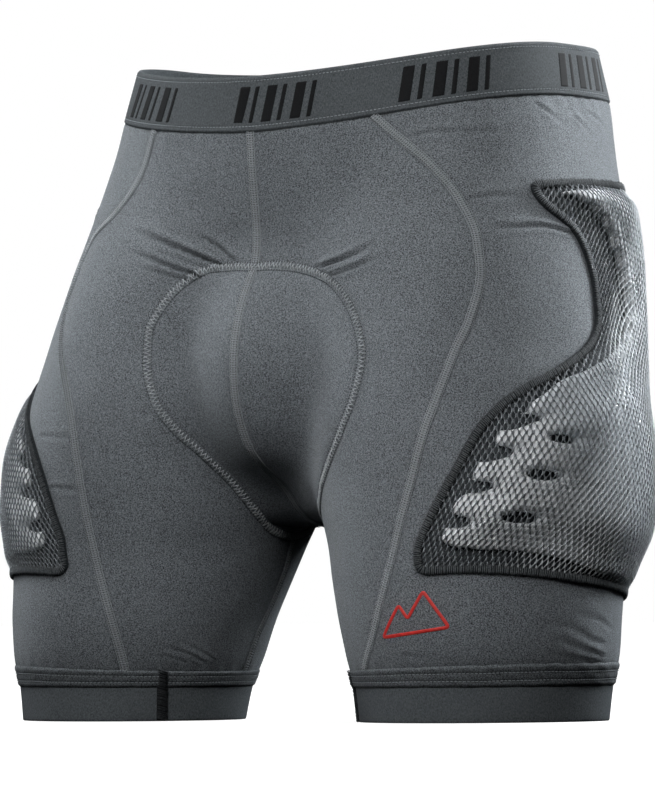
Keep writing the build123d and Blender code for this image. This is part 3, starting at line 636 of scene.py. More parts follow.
def mesh_material():
    mat = bpy.data.materials.new("mesh_yarn")
    nt, p = nodes_of(mat)
    obj = mapping(nt, "Object")
    fine = noise(nt, obj, 1500, 3, 0.7)
    col = ramp(nt, fine, [(0.25, srgb(50, 54, 58)), (0.75, srgb(122, 128, 132))])
    # lighter yarn colours: painted highlight where the rim light falls on the side
    light = ramp(nt, fine, [(0.25, srgb(160, 166, 171)), (0.75, srgb(232, 236, 239))])
    rim_highlight_yarn = ramp(nt, fine, [(0.25, srgb(190, 197, 202)), (0.75, srgb(246, 249, 251))])
    sp = nt.nodes.new("ShaderNodeSeparateXYZ"); nt.links.new(obj, sp.inputs[0])

    def band(v, a0, a1):
        r = nt.nodes.new("ShaderNodeMapRange"); r.interpolation_type = "SMOOTHSTEP"
        r.inputs["From Min"].default_value = a0; r.inputs["From Max"].default_value = a1
        nt.links.new(v, r.inputs["Value"])
        return r.outputs[0]
    # painted highlight: the yarn turns lighter towards the side and palest high on the hip, where the rim light falls;
    # the change runs up the pocket from the front of the thigh to the hip
    v = math_node(nt, "SUBTRACT", sp.outputs[1], math_node(nt, "MULTIPLY", sp.outputs[2], 0.69))
    side_ = band(v, -0.182, -0.160)
    col = mix_col(nt, side_, col, light)
    col = mix_col(nt, math_node(nt, "MULTIPLY", side_, band(sp.outputs[2], 0.165, 0.235)), col, rim_highlight_yarn)
    # painted shade: ambient occlusion darkens the yarn where it lies close over the foam and lining
    nt.links.new(painted_occlusion_shade(nt, col, 0.45, 0.006), p.inputs["Base Color"])
    tw = wave_tex(nt, mapping(nt, "Object", (1, 1, 1), (0.6, 0.2, 0.4)), 900, "DIAGONAL")
    bump(nt, p, math_node(nt, "ADD", tw, fine), 0.5, 0.0002)
    p.inputs["Roughness"].default_value = 0.62
    p.inputs["Sheen Weight"].default_value = 0.9
    p.inputs["Sheen Roughness"].default_value = 0.4
    p.inputs["Sheen Tint"].default_value = (0.88, 0.94, 1, 1)
    return mat


M["mesh"] = mesh_material()


def simple(name, a, b, scale, rough, extra=None, bump_s=0.2):
    mat = bpy.data.materials.new(name)
    nt, p = nodes_of(mat)
    f = noise(nt, mapping(nt, "Object"), scale, 3, 0.6)
    nt.links.new(ramp(nt, f, [(0.3, a), (0.7, b)]), p.inputs["Base Color"])
    bump(nt, p, f, bump_s, 0.0002)
    p.inputs["Roughness"].default_value = rough
    for k, v in (extra or {}).items():
        p.inputs[k].default_value = v
    return mat


M["emblem"] = simple("emblem_film", srgb(196, 36, 32), srgb(226, 58, 48), 500, 0.45, None, 0.25)
M["silicone"] = simple("grip_silicone", srgb(170, 176, 180), srgb(196, 201, 205), 300, 0.35,
                       {"Transmission Weight": 0.25, "IOR": 1.42}, 0.1)
M["label"] = simple("label_satin", srgb(198, 198, 196), srgb(222, 222, 220), 700, 0.4, {"Sheen Weight": 0.3}, 0.3)
note("materials ready")


# =====================================================================================
# relief of the worn cloth: creases, seam pull, seat pad
# =====================================================================================
# each crease: points on the body (design mm), half width, depth
CREASES = [
    # (points from the sharp end to the faded end, half width mm, depth mm)
    ([(99.8, -102.4, 343.9), (116.1, -92.5, 345.8), (133.8, -77.1, 346.3), (147.1, -59.1, 346.1)], 2.2, 0.9),
    ([(133.8, -94.7, 305.2), (147.1, -81.7, 307.6), (159.7, -65.7, 306.8)], 2.4, 0.9),
    ([(178.0, -44.0, 286.5), (168.3, -64.0, 289.8), (155.4, -83.8, 288.2), (146.0, -92.0, 287.0)], 2.0, 1.8),
    ([(156.0, -9.2, 359.0), (159.0, 5.3, 348.0)], 1.8, 0.9),
    ([(155.0, 8.8, 362.0), (153.8, 28.6, 354.2)], 1.8, 0.9),
    ([(150.0, -42.0, 366.0), (157.0, -20.0, 352.0)], 1.8, 0.8),
    ([(43.1, -119.5, 267.2), (58.2, -122.4, 271.2), (72.0, -123.0, 276.0)], 1.9, 1.1),
    ([(48.7, -120.6, 267.4), (70.6, -124.3, 272.4), (92.6, -121.9, 279.9)], 1.8, 3.4),
    ([(56.0, -123.3, 262.2), (71.2, -126.3, 264.4), (94.5, -124.5, 270.8)], 1.6, 3.0),
    ([(-23.3, -117.0, 271.0), (-55.9, -119.7, 283.3), (-94.9, -117.0, 296.5)], 2.1, 3.8),
    ([(-13.0, -117.2, 272.9), (-26.0, -116.6, 281.5), (-42.4, -116.1, 290.5)], 1.6, 2.9),
    ([(-38.1, -118.9, 265.2), (-63.6, -123.0, 273.4), (-92.0, -121.0, 283.4)], 1.9, 3.4),
    ([(-45.2, -120.8, 263.2), (-66.8, -123.6, 268.8), (-80.0, -124.0, 271.5)], 1.7, 1.4),
    ([(-148.2, -137.6, 172.6), (-130.1, -144.7, 171.2), (-113.3, -147.0, 169.5)], 1.9, 1.1),
    ([(-135.7, -145.0, 141.2), (-119.5, -147.8, 139.8), (-106.3, -147.6, 138.3)], 1.9, 1.0),
    ([(-53.6, -97.0, 34.5), (-57.0, -107.0, 39.0), (-63.0, -119.0, 43.0), (-70.0, -127.0, 45.5)], 1.6, 0.5),
    ([(-50.2, -91.1, 35.5), (-53.0, -101.0, 41.0), (-59.0, -113.0, 46.5)], 1.5, 0.4),
    ([(-58.0, -109.0, 34.5), (-65.0, -121.0, 38.0), (-75.0, -131.0, 39.5)], 1.5, 0.4),
    ([(205.9, -56.5, 37.0), (205.0, -78.4, 42.0), (197.6, -98.8, 48.7)], 2.0, 0.7),
    ([(209.0, -58.0, 45.0), (207.5, -72.0, 47.0), (203.0, -90.0, 55.0), (194.0, -103.0, 57.0)], 2.8, 0.55),
    ([(202.0, -60.0, 35.5), (198.0, -84.0, 37.5), (188.0, -104.0, 41.0)], 1.6, 0.6),
    ([(207.0, -50.0, 53.0), (207.0, -70.0, 60.0), (199.0, -92.0, 62.0)], 3.0, 0.45),
    ([(123.3, -146.9, 40.0), (140.2, -144.2, 36.6)], 1.8, 0.8),
    # rear: drag lines below the waistband, under the seat and behind the knee side of the hem
    ([(30.0, 112.0, 352.0), (52.0, 107.0, 346.0)], 2.2, 0.9),
    ([(-34.0, 111.0, 350.0), (-58.0, 106.0, 343.0)], 2.2, 0.9),
    ([(40.0, 108.0, 180.0), (60.0, 104.0, 176.0), (86.0, 96.0, 170.0), (116.0, 76.0, 168.0)], 3.0, 2.0),
    ([(-40.0, 108.0, 180.0), (-60.0, 104.0, 176.0), (-88.0, 95.0, 169.0), (-118.0, 76.0, 166.0)], 3.0, 2.0),
    ([(50.0, 78.0, 152.0), (80.0, 72.0, 146.0), (108.0, 60.0, 148.0)], 2.8, 1.6),
    ([(-50.0, 78.0, 153.0), (-80.0, 72.0, 147.0), (-108.0, 60.0, 150.0)], 2.8, 1.6),
    ([(62.0, 20.0, 60.0), (84.0, 26.0, 55.0), (110.0, 24.0, 57.0)], 2.6, 1.1),
    ([(-62.0, 20.0, 62.0), (-84.0, 26.0, 57.0), (-110.0, 24.0, 58.0)], 2.6, 1.1),
]


def dist_poly(P, L, pad):
    """Distance to a polyline and place along it (0 to 1) for points near it, with their indices."""
    L = np.asarray(L, float)
    lo = L.min(0) - pad; hi = L.max(0) + pad
    k = np.where(((P > lo) & (P < hi)).all(-1))[0]
    if len(k) == 0:
        return k, None, None, None
    Q = P[k]
    best = np.full(len(k), 1e9); pos = np.zeros(len(k)); sgn = np.zeros(len(k))
    seg = np.linalg.norm(np.diff(L, axis=0), axis=1); tot = seg.sum(); acc = 0
    for a, b, s in zip(L[:-1], L[1:], seg):
        d = b - a
        t = np.clip(((Q - a) @ d)/(d @ d), 0, 1)
        R = Q - (a + t[:, None]*d)
        m = np.linalg.norm(R, axis=1)
        c = m < best
        best[c] = m[c]; pos[c] = (acc + t[c]*s)/tot; sgn[c] = R[c, 2]
        acc += s
    return k, best, pos, sgn


CREASE_LINES = []
for pts, w, h in CREASES:
    L = on_form(np.array(pts, float), 8)
    if len(L) > 2:
        L = resample(L, 14)
    else:
        L = resample(np.array([L[0], L.mean(0), L[1]]), 8)
    CREASE_LINES.append((on_form(L, 4), w, h))


RING_FRONT = {
    1: [(302, -29.5), (300.5, -25), (297.5, -19.5), (286, -5), (272, 3.5), (256, 8), (241, 8.5), (225, 3.5),
        (215, -3.5), (206, -13), (199, -26), (194, -42), (190, -60)],
    -1: [(302, -29.5), (300.5, -24), (298, -17.5), (288, -8), (276, -3), (261, -0.5), (248, -2.5), (234, -8),
         (225, -17), (220, -27), (212, -42), (202, -55), (192, -68)]}
RING_REAR = [(187, -84), (187, -104), (191, -126), (199, -146), (212, -163), (230, -174), (248, -176),
             (263, -170), (273, -161), (277, -156)]
RING_CHART = {s: np.array(RING_FRONT[s] + [(r, a + 360 if a < -90 else a) for r, a in RING_REAR], float)
              for s in (1, -1)}


def ring_half(side):
    rows = np.array(RING_FRONT[side] + RING_REAR, float)
    P = at(rows[:, 0], rows[:, 1], side)
    P[0, 0] = P[-1, 0] = 0
    return P


def ring_loop(n):
    L, R = ring_half(1), ring_half(-1)
    return on_form(resample(np.vstack([L, R[::-1][1:-1]]), n, True), 4)


RING = ring_loop(420)


def near_line(P, L, reach):
    """Distance from each point to a dense closed line, capped at reach."""
    d = np.full(len(P), reach, float)
    lo = L.min(0) - reach; hi = L.max(0) + reach
    k = np.where(((P > lo) & (P < hi)).all(-1))[0]
    for c in range(0, len(k), 4000):
        kk = k[c:c + 4000]
        D = np.linalg.norm(P[kk][:, None, :] - L[None], axis=2).min(1)
        d[kk] = np.minimum(D, reach)
    return d


def in_ring(P):
    """Whether body points lie inside the seat pad outline."""
    L = RING
    front = L[L[:, 1] < -45]; rear = L[L[:, 1] >= -45]

    def half_width(pts, z):
        out = {}
        for s in (1, -1):
            q = pts[s*pts[:, 0] >= 0]
            o = np.argsort(q[:, 2]); q = q[o]
            zz = np.arange(q[0, 2], q[-1, 2], 2.0)
            xx = np.interp(zz, q[:, 2], np.abs(q[:, 0]))
            out[s] = np.interp(z, zz, xx, left=-1, right=-1)
        return out
    f = half_width(front, P[:, 2]); r = half_width(rear, P[:, 2])
    isf = P[:, 1] < -45
    w = np.where(P[:, 0] >= 0, np.where(isf, f[1], r[1]), np.where(isf, f[-1], r[-1]))
    # under the crotch the outline runs along the inner thighs, and the pad lies above it
    low = (P[:, 2] < 136) & (w < 0)
    edge = np.full(len(P), 1e3)
    for s in (1, -1):
        q = L[(s*L[:, 0] >= 0) & (L[:, 2] < 150)]
        q = q[np.argsort(q[:, 1])]
        k = s*P[:, 0] >= 0
        edge[k] = np.interp(P[k, 1], q[:, 1], q[:, 2], left=1e3, right=1e3)
    return np.where(low, (P[:, 2] > edge) & (np.abs(P[:, 0]) < 40), np.abs(P[:, 0]) < w)


def lie(P):
    """Height of the worn cloth over the body form, away from its seams: undulation, creases, seat pad."""
    sh = P.shape[:-1]
    Q = P.reshape(-1, 3)
    h = 0.22*wave(Q, 16.0, 3) + 0.10*wave(Q, 5.0, 7)
    for L, w, d in CREASE_LINES:
        k, m, pos, sg = dist_poly(Q, L, 4.2*w)
        if len(k) == 0:
            continue
        fade = np.clip(pos/0.06, 0, 1)*np.clip(1 - pos, 0, 1)**0.8
        ww = w*(0.62 + 1.0*pos)
        s = np.where(sg >= 0, 1.0, -1.0)
        h[k] += d*fade*(-np.exp(-(m/(0.50*ww))**2) + 0.60*np.exp(-((m - 1.5*ww)/(0.9*ww))**2)*np.where(s > 0, 1.25, 0.6))
    d = near_line(Q, RING, 16.0)
    ins = in_ring(Q)
    h += np.where(ins, 1.5*(1 - np.exp(-(d/5.0)**1.5)), 0.0)
    h -= 0.55*np.exp(-(d/2.4)**2)
    return h.reshape(sh)


def relief(P, edge0, edge1, v):
    """Height of the cloth over the body form. edge0 and edge1 are the distances to the panel's two seams."""
    sh = P.shape[:2]
    Q = P.reshape(-1, 3)
    h = lie(Q)
    # the seams draw the cloth in and pucker it slightly
    for e, s in ((edge0.ravel(), 11), (edge1.ravel(), 12)):
        h -= 0.55*np.exp(-(e/3.2)**2)
        h += 0.16*np.exp(-(e/7.0)**2)*np.sin(v.ravel()*1.25 + 2.2*wave(Q, 11.0, s))
    # under the waistband and above the hem the cloth is gathered a little
    top = WAIST_LOW - v.ravel(); low = v.ravel() - HEM_TOP
    u = np.arctan2(Q[:, 0], -Q[:, 1] - 10)*130
    h += 0.35*np.exp(-top/9.0)*np.sin(u*0.55 + 1.6*wave(Q, 14, 21))*(0.5 + 0.5*wave(Q, 30, 22))
    legu = np.arctan2(np.abs(Q[:, 0]) - 127, -Q[:, 1] - 66)*76
    h += 0.40*np.exp(-np.clip(low, 0, None)/8.0)*np.sin(legu*0.50 + 1.8*wave(Q, 13, 23))*(0.5 + 0.5*wave(Q, 26, 24))
    return h.reshape(sh)


# =====================================================================================
# panels
# =====================================================================================
def panel(name, fa, fb, side, node, cols):
    low, top = HEM_TOP - 4.0, WAIST_LOW + 3.0
    n1, n2 = (130, 150)
    rows = np.r_[np.linspace(low, CROTCH, n1), CROTCH + (top - CROTCH)*np.linspace(0, 1, n2)[1:]**1.45]
    a, b = fa(rows), fb(rows)
    t = np.linspace(0, 1, cols)
    A = a[:, None]*(1 - t) + b[:, None]*t
    P = at_grid(rows[:, None] + 0*A, A, side)
    P[..., 0] = np.where(side*P[..., 0] < 0.25, side*0.25, P[..., 0])
    N = normal(P)
    step = np.linalg.norm(np.diff(P, axis=1), axis=2)
    U0 = np.concatenate([np.zeros((len(rows), 1)), np.cumsum(step, 1)], 1)
    tot = U0[:, -1:]
    U = U0 - tot*0.5
    V = P[..., 2]
    h = relief(P, U0, tot - U0, rows[:, None] + 0*A)
    # tuck under the waistband and under the hem
    r2 = rows[:, None] + 0*A
    h = h - 1.3*np.clip((r2 - (WAIST_LOW - 1.0))/3.0, 0, 1) - 1.2*np.clip((HEM_TOP + 0.6 - r2)/3.0, 0, 1)
    O = P + h[..., None]*N
    I = O - 0.95*N
    return shell(name, O, I, False, U, V, M["body"], node)


PANELS = {}
for side, s in ((1, "left"), (-1, "right")):
    fs = FRONT_SIDE[side]
    PANELS["front_" + s] = panel("front_panel_cloth_" + s, inner_front, fs, side, "front_panel_" + s, 136)
    PANELS["side_" + s] = panel("side_panel_cloth_" + s, fs, REAR_SIDE, side, "side_panel_" + s, 140)
    PANELS["rear_" + s] = panel("rear_panel_cloth_" + s, REAR_SIDE, inner_rear, side, "rear_panel_" + s, 92)
note("panels ready")


# =====================================================================================
# strips along a line: seams, ring, binding
# =====================================================================================
def frame_of(P, closed):
    N = normal(P)
    T = unit(np.roll(P, -1, 0) - np.roll(P, 1, 0)) if closed else unit(np.gradient(P, axis=0))
    B = unit(np.cross(N, T))
    return N, T, B


def lay(P, B, offs):
    """Points beside a line, settled on the body: (points, offsets, 3)."""
    G = P[:, None, :] + B[:, None, :]*np.asarray(offs)[None, :, None]
    return on_form(G, 2)


def strip(name, path, half, profile, closed, mat, node, rise=0.3, cols=9, step=1.0, rib=0.0, thick=0.5, tex=1.0,
          follow=True):
    """Domed strip: profile(x) gives the height for x from -1 to 1 across it."""
    n = int(length(path, closed)/step)
    P = on_form(resample(path, n, closed), 3)
    N, T, B = frame_of(P, closed)
    x = np.linspace(-1, 1, cols)
    G = lay(P, B, x*half)
    NN = normal(G)
    s = np.arange(n)*length(P, closed)/n
    h = profile(x)[None, :] + rib*np.sin(s*2*np.pi/1.5)[:, None]*(1 - x[None, :]**2)
    base = rise + (lie(G) if follow else 0*G[..., 0])
    O = G + (base + h)[..., None]*NN
    I = G + (base + np.minimum(h, 0) - thick)[..., None]*NN
    if closed:
        s = np.r_[s, s[-1] + step]
    # rows run across the strip, columns along it
    O2, I2 = O.transpose(1, 0, 2), I.transpose(1, 0, 2)
    U = np.broadcast_to(s[None, :], (cols, len(s)))*tex; V = np.broadcast_to((x*half)[:, None], U.shape)
    return shell(name, O2, I2, closed, U, V, mat, node), P


def chain(name, path, closed, offs, pitch, size, rise, mat, r=0.28, lean=0.0, follow=True):
    """Rows of short needle stitches along a line at the given offsets."""
    L = length(path, closed)
    n = int(L/pitch)
    P = on_form(resample(path, n, closed), 3)
    N, T, B = frame_of(P, closed)
    out = []
    for k, o in enumerate(offs):
        c = P + B*o
        K = 4
        t = np.linspace(-0.5, 0.5, K)
        seg = c[:, None, :] + T[:, None, :]*(t*size)[None, :, None] + B[:, None, :]*(t*lean)[None, :, None]
        NN = np.repeat(N[:, None, :], K, 1)
        base = (lie(c) if follow else 0*c[:, 0])[:, None]
        lift = base + rise + 0.22*np.cos(t*np.pi)[None, :]
        out.append((seg + NN*lift[..., None], NN))
    return threads(name, np.concatenate([a for a, _ in out]), np.concatenate([b for _, b in out]), r, mat, 5)


def rungs(name, path, closed, half, pitch, slant, rise, mat, r=0.3, chevron=0.0, dome=0.25,
          follow=True, uneven=0.0):
    """Cross threads over a seam; alternate slant gives a zigzag."""
    L = length(path, closed)
    n = int(L/pitch)//2*2
    P = on_form(resample(path, n, closed), 3)
    N, T, B = frame_of(P, closed)
    K = 5
    t = np.linspace(-1, 1, K)
    sg = np.where(np.arange(n) % 2 == 0, 1.0, -1.0) if slant < 0 else np.ones(n)
    rs = np.random.RandomState(len(name)*7 + n)
    a1 = uneven*rs.normal(size=(n, 1)).clip(-2, 2); a2 = 1 + 0.6*uneven*rs.normal(size=(n, 1)).clip(-1.5, 1.5)
    seg = (P[:, None, :] + B[:, None, :]*(a2*t[None, :]*half)[..., None]
           + T[:, None, :]*(a1 + (sg[:, None]*abs(slant)*t[None, :]*0.5) + chevron*np.abs(t)[None, :])[..., None])
    NN = np.repeat(N[:, None, :], K, 1)
    base = (lie(P) if follow else 0*P[:, 0])[:, None]
    lift = base + rise + dome*(1 - t**2)[None, :]
    return threads(name, seg + NN*lift[..., None], NN, r, mat, 5)


def seam_profile(x):
    return 0.55*(1 - np.abs(x)**3) - 0.18*np.exp(-(x/0.16)**2)


def seam(name, path, node):
    strip(name + "_tape", path, 3.0, seam_profile, False, M["seam"], node, rise=-0.3, cols=11,
          step=1.2, thick=0.5)
    rungs(name + "_cover_threads", path, False, 2.4, 1.35, 0.5, 0.30, M["thread"], 0.26, 0.35)
    chain(name + "_needle_threads", path, False, (-2.6, -0.9, 1.1, 2.6), 1.7, 1.1, 0.30, M["thread"], 0.21, 0.0)
    chain(name + "_needle_holes", path, False, (-2.0, 0.2, 1.9), 1.7, 0.7, 0.38, M["dark_thread"], 0.24, 0.0)


rows = np.linspace(HEM_TOP - 1, WAIST_LOW, 90)
for side, s in ((1, "left"), (-1, "right")):
    seam("front_side_flatlock_" + s, at(rows, FRONT_SIDE[side](rows), side), "front_side_seam_" + s)
    seam("rear_side_flatlock_" + s, at(rows, REAR_SIDE(rows), side), "rear_side_seam_" + s)
    r = np.linspace(HEM_TOP - 1, CROTCH - 5, 50)
    seam("inseam_flatlock_" + s, at(r, inner_front(r), side), "inseam_" + s)
r = CROTCH + (WAIST_LOW - CROTCH)*np.linspace(0, 1, 90)**2
front = at(r, inner_front(r), 1); front[:, 0] = 0
rear = at(r, inner_rear(r), 1); rear[:, 0] = 0
mid = (front[0] + rear[0])/2
seam("centre_front_flatlock", np.vstack([mid[None], front[3:]]), "centre_front_seam")
seam("centre_rear_flatlock", np.vstack([mid[None] + np.array([0, 1.0, 0]), rear[3:]]), "centre_rear_seam")
note("seams ready")

# cover stitch round the seat pad
strip("seat_pad_stitch_tape", RING, 3.1, lambda x: 0.28*(1 - np.abs(x)**3), True, M["ring_tape"],
      "chamois_cover_stitch", rise=0.12, cols=9, step=1.4, thick=0.5)
rungs("seat_pad_zigzag_a", RING, True, 2.3, 1.25, -1.9, 0.62, M["ring_thread"], 0.33, 0.0, 0.9, True, 0.24)
rungs("seat_pad_zigzag_b", np.roll(RING, 1, 0), True, 2.1, 1.7, -2.2, 0.5, M["ring_thread"], 0.30, 0.0, -0.6, True, 0.3)
chain("seat_pad_needle_threads", RING, True, (-2.7, 2.7), 1.9, 0.9, 0.30, M["dark_thread"], 0.3, 0.0)
note("ring ready")


# =====================================================================================
# waistband
# =====================================================================================
def waist_line(row, n=90):
    a = np.linspace(float(inner_front(row)), float(inner_rear(row)), n)
    L = at(np.full(n, row), a, 1); L[0, 0] = L[-1, 0] = 0
    R = L[::-1]*np.array([-1, 1, 1])
    return np.vstack([L, R[1:-1]])


NW = 720
WL, WH = resample(waist_line(WAIST_LOW), NW, True), resample(waist_line(WAIST_TOP), NW, True)
WN = unit(normal((WL + WH)/2)*np.array([1, 1, 0]))
WLEN = length((WL + WH)/2, True)


def band_point(u, v, lift):
    """Point on the waistband: u mm round it from the centre front, v mm up from its lower edge."""
    i = (u % WLEN)/WLEN*NW
    j = np.floor(i).astype(int) % NW; t = (i - np.floor(i))[..., None]
    k = (j + 1) % NW
    lo = WL[j]*(1 - t) + WL[k]*t; hi = WH[j]*(1 - t) + WH[k]*t
    n = unit(WN[j]*(1 - t) + WN[k]*t)
    w = (v/(WAIST_TOP - WAIST_LOW))[..., None]
    return lo*(1 - w) + hi*w + n*lift[..., None], n


BH = WAIST_TOP - WAIST_LOW


def band_lift(u, v):
    """Outer face of the elastic: rolled edges, two sewn rows low down, faint wave of the tension."""
    e = np.minimum(v, BH - v)
    h = 0.9 - 0.9*np.exp(-(e/0.7)**2) - 0.22*np.exp(-((v - 3.4)/0.5)**2) - 0.16*np.exp(-((v - (BH - 3.0))/0.45)**2)
    return h + 0.10*np.sin(u/11.0 + 0.8*np.sin(u/37.0))*np.cos(v/9.0)


NV = 44
vv = BH*(0.5 - 0.5*np.cos(np.linspace(0, np.pi, NV)))
uu = np.arange(NW)*WLEN/NW
UU, VV = np.meshgrid(uu, vv)
O, n = band_point(UU, VV, band_lift(UU, VV))
I, _ = band_point(UU, VV, 0*UU - 1.5 + 0.25*np.exp(-(np.minimum(VV, BH - VV)/0.8)**2))
Uc = np.broadcast_to(np.r_[uu, WLEN][None, :], (NV, NW + 1)); Vc = np.broadcast_to(vv[:, None], Uc.shape)
shell("waistband_band", O, I, True, Uc, Vc, M["waist"], "waistband_elastic")


def jacquard(name, u0, shapes):
    """Woven marks on the band: flat shapes (quads in mm from u0), each a fine raised weave patch."""
    V, Q = [], []
    base = 0
    for quad in shapes:
        quad = np.array(quad, float)
        wid = np.linalg.norm(quad[1] - quad[0]); hei = np.linalg.norm(quad[3] - quad[0])
        nu, nv = max(3, int(wid/0.8)), max(3, int(hei/0.8))
        s, t = np.meshgrid(np.linspace(0, 1, nu), np.linspace(0, 1, nv))
        p = (quad[0]*((1-s)*(1-t))[..., None] + quad[1]*(s*(1-t))[..., None]
             + quad[2]*(s*t)[..., None] + quad[3]*((1-s)*t)[..., None])
        u, v = u0 + p[..., 0], p[..., 1]
        edge = np.minimum(np.minimum(s, 1-s)*wid, np.minimum(t, 1-t)*hei)
        l = band_lift(u, v) + 0.05 + 0.16*np.clip(edge/0.8, 0, 1) + 0.05*np.sin(u*3.9)*np.sin(v*3.9)
        l = np.where(edge <= 1e-6, band_lift(u, v) - 0.2, l)
        P, _ = band_point(u, v, l)
        D, _ = band_point(u, v, band_lift(u, v) - 0.45)
        n = nu*nv
        a = (np.arange(nv-1)[:, None]*nu + np.arange(nu-1)[None, :]).ravel()
        q = np.stack([a, a+1, a+nu+1, a+nu], -1)
        V.append(P.reshape(-1, 3)); V.append(D.reshape(-1, 3))
        Q.append(q + base); Q.append(q[:, ::-1] + base + n)
        loop = np.r_[np.arange(nu), np.arange(1, nv)*nu + nu-1, (nv-1)*nu + np.arange(nu-2, -1, -1),
                     np.arange(nv-2, 0, -1)*nu]
        b = np.roll(loop, -1)
        Q.append(np.stack([loop, loop + n, b + n, b], -1) + base)
        base += 2*n
    Qa = np.vstack(Q)
    uvq = np.zeros((len(Qa), 4, 2))
    ob = new_object(name, np.vstack(V), Qa, None, M["jacquard"])
    return ob


def slant(u0, u1, v0, v1, k=0.22):
    """Leaning bar from u0 to u1 at the bottom and v0 to v1 high."""
    return [(u0 + v0*k, v0), (u1 + v0*k, v0), (u1 + v1*k, v1), (u0 + v1*k, v1)]


# plain leaning bars, wide and narrow by turns
GROUP = [slant(0, 8, 5, 26.5), slant(11, 15, 5, 26.5), slant(20, 28, 5, 26.5), slant(31, 35, 5, 26.5),
         slant(40, 48, 5, 26.5), slant(51, 55, 5, 26.5)]
STEP = WLEN/8.0
for i in range(8):
    jacquard("waistband_jacquard_%d" % (i + 1), -14.0 + i*STEP, GROUP)
# sewn rows of the waistband
path = band_point(uu, 0*uu + 3.4, 0*uu + 0.72)[0]


def straight_chain(name, fu, v, pitch, size, lift, mat, r, total):
    n = int(total/pitch)
    u = np.arange(n)*total/n
    K = 4
    t = np.linspace(-0.5, 0.5, K)
    U_, T_ = np.meshgrid(u, t, indexing="ij")
    P, nn = fu(U_ + T_*size, 0*U_ + v, lift + 0.15*np.cos(T_*np.pi))
    return threads(name, P, nn, r, mat, 5)


for k, v in enumerate((3.4, BH - 3.0)):
    straight_chain("waistband_stitch_row_%d" % (k + 1), band_point, v, 2.4, 1.8, 0.72, M["seam"], 0.26, WLEN)
note("waistband ready")


# =====================================================================================
# hems and grippers
# =====================================================================================
def leg_rings(side, zs, n):
    a = -90 + 360.0*np.arange(n)/n
    R, A = np.meshgrid(zs, a, indexing="ij")
    P = surf(R, A)*np.array([side, 1, 1])
    N = unit(normal(P)*np.array([1, 1, 0.0]))
    return P, N


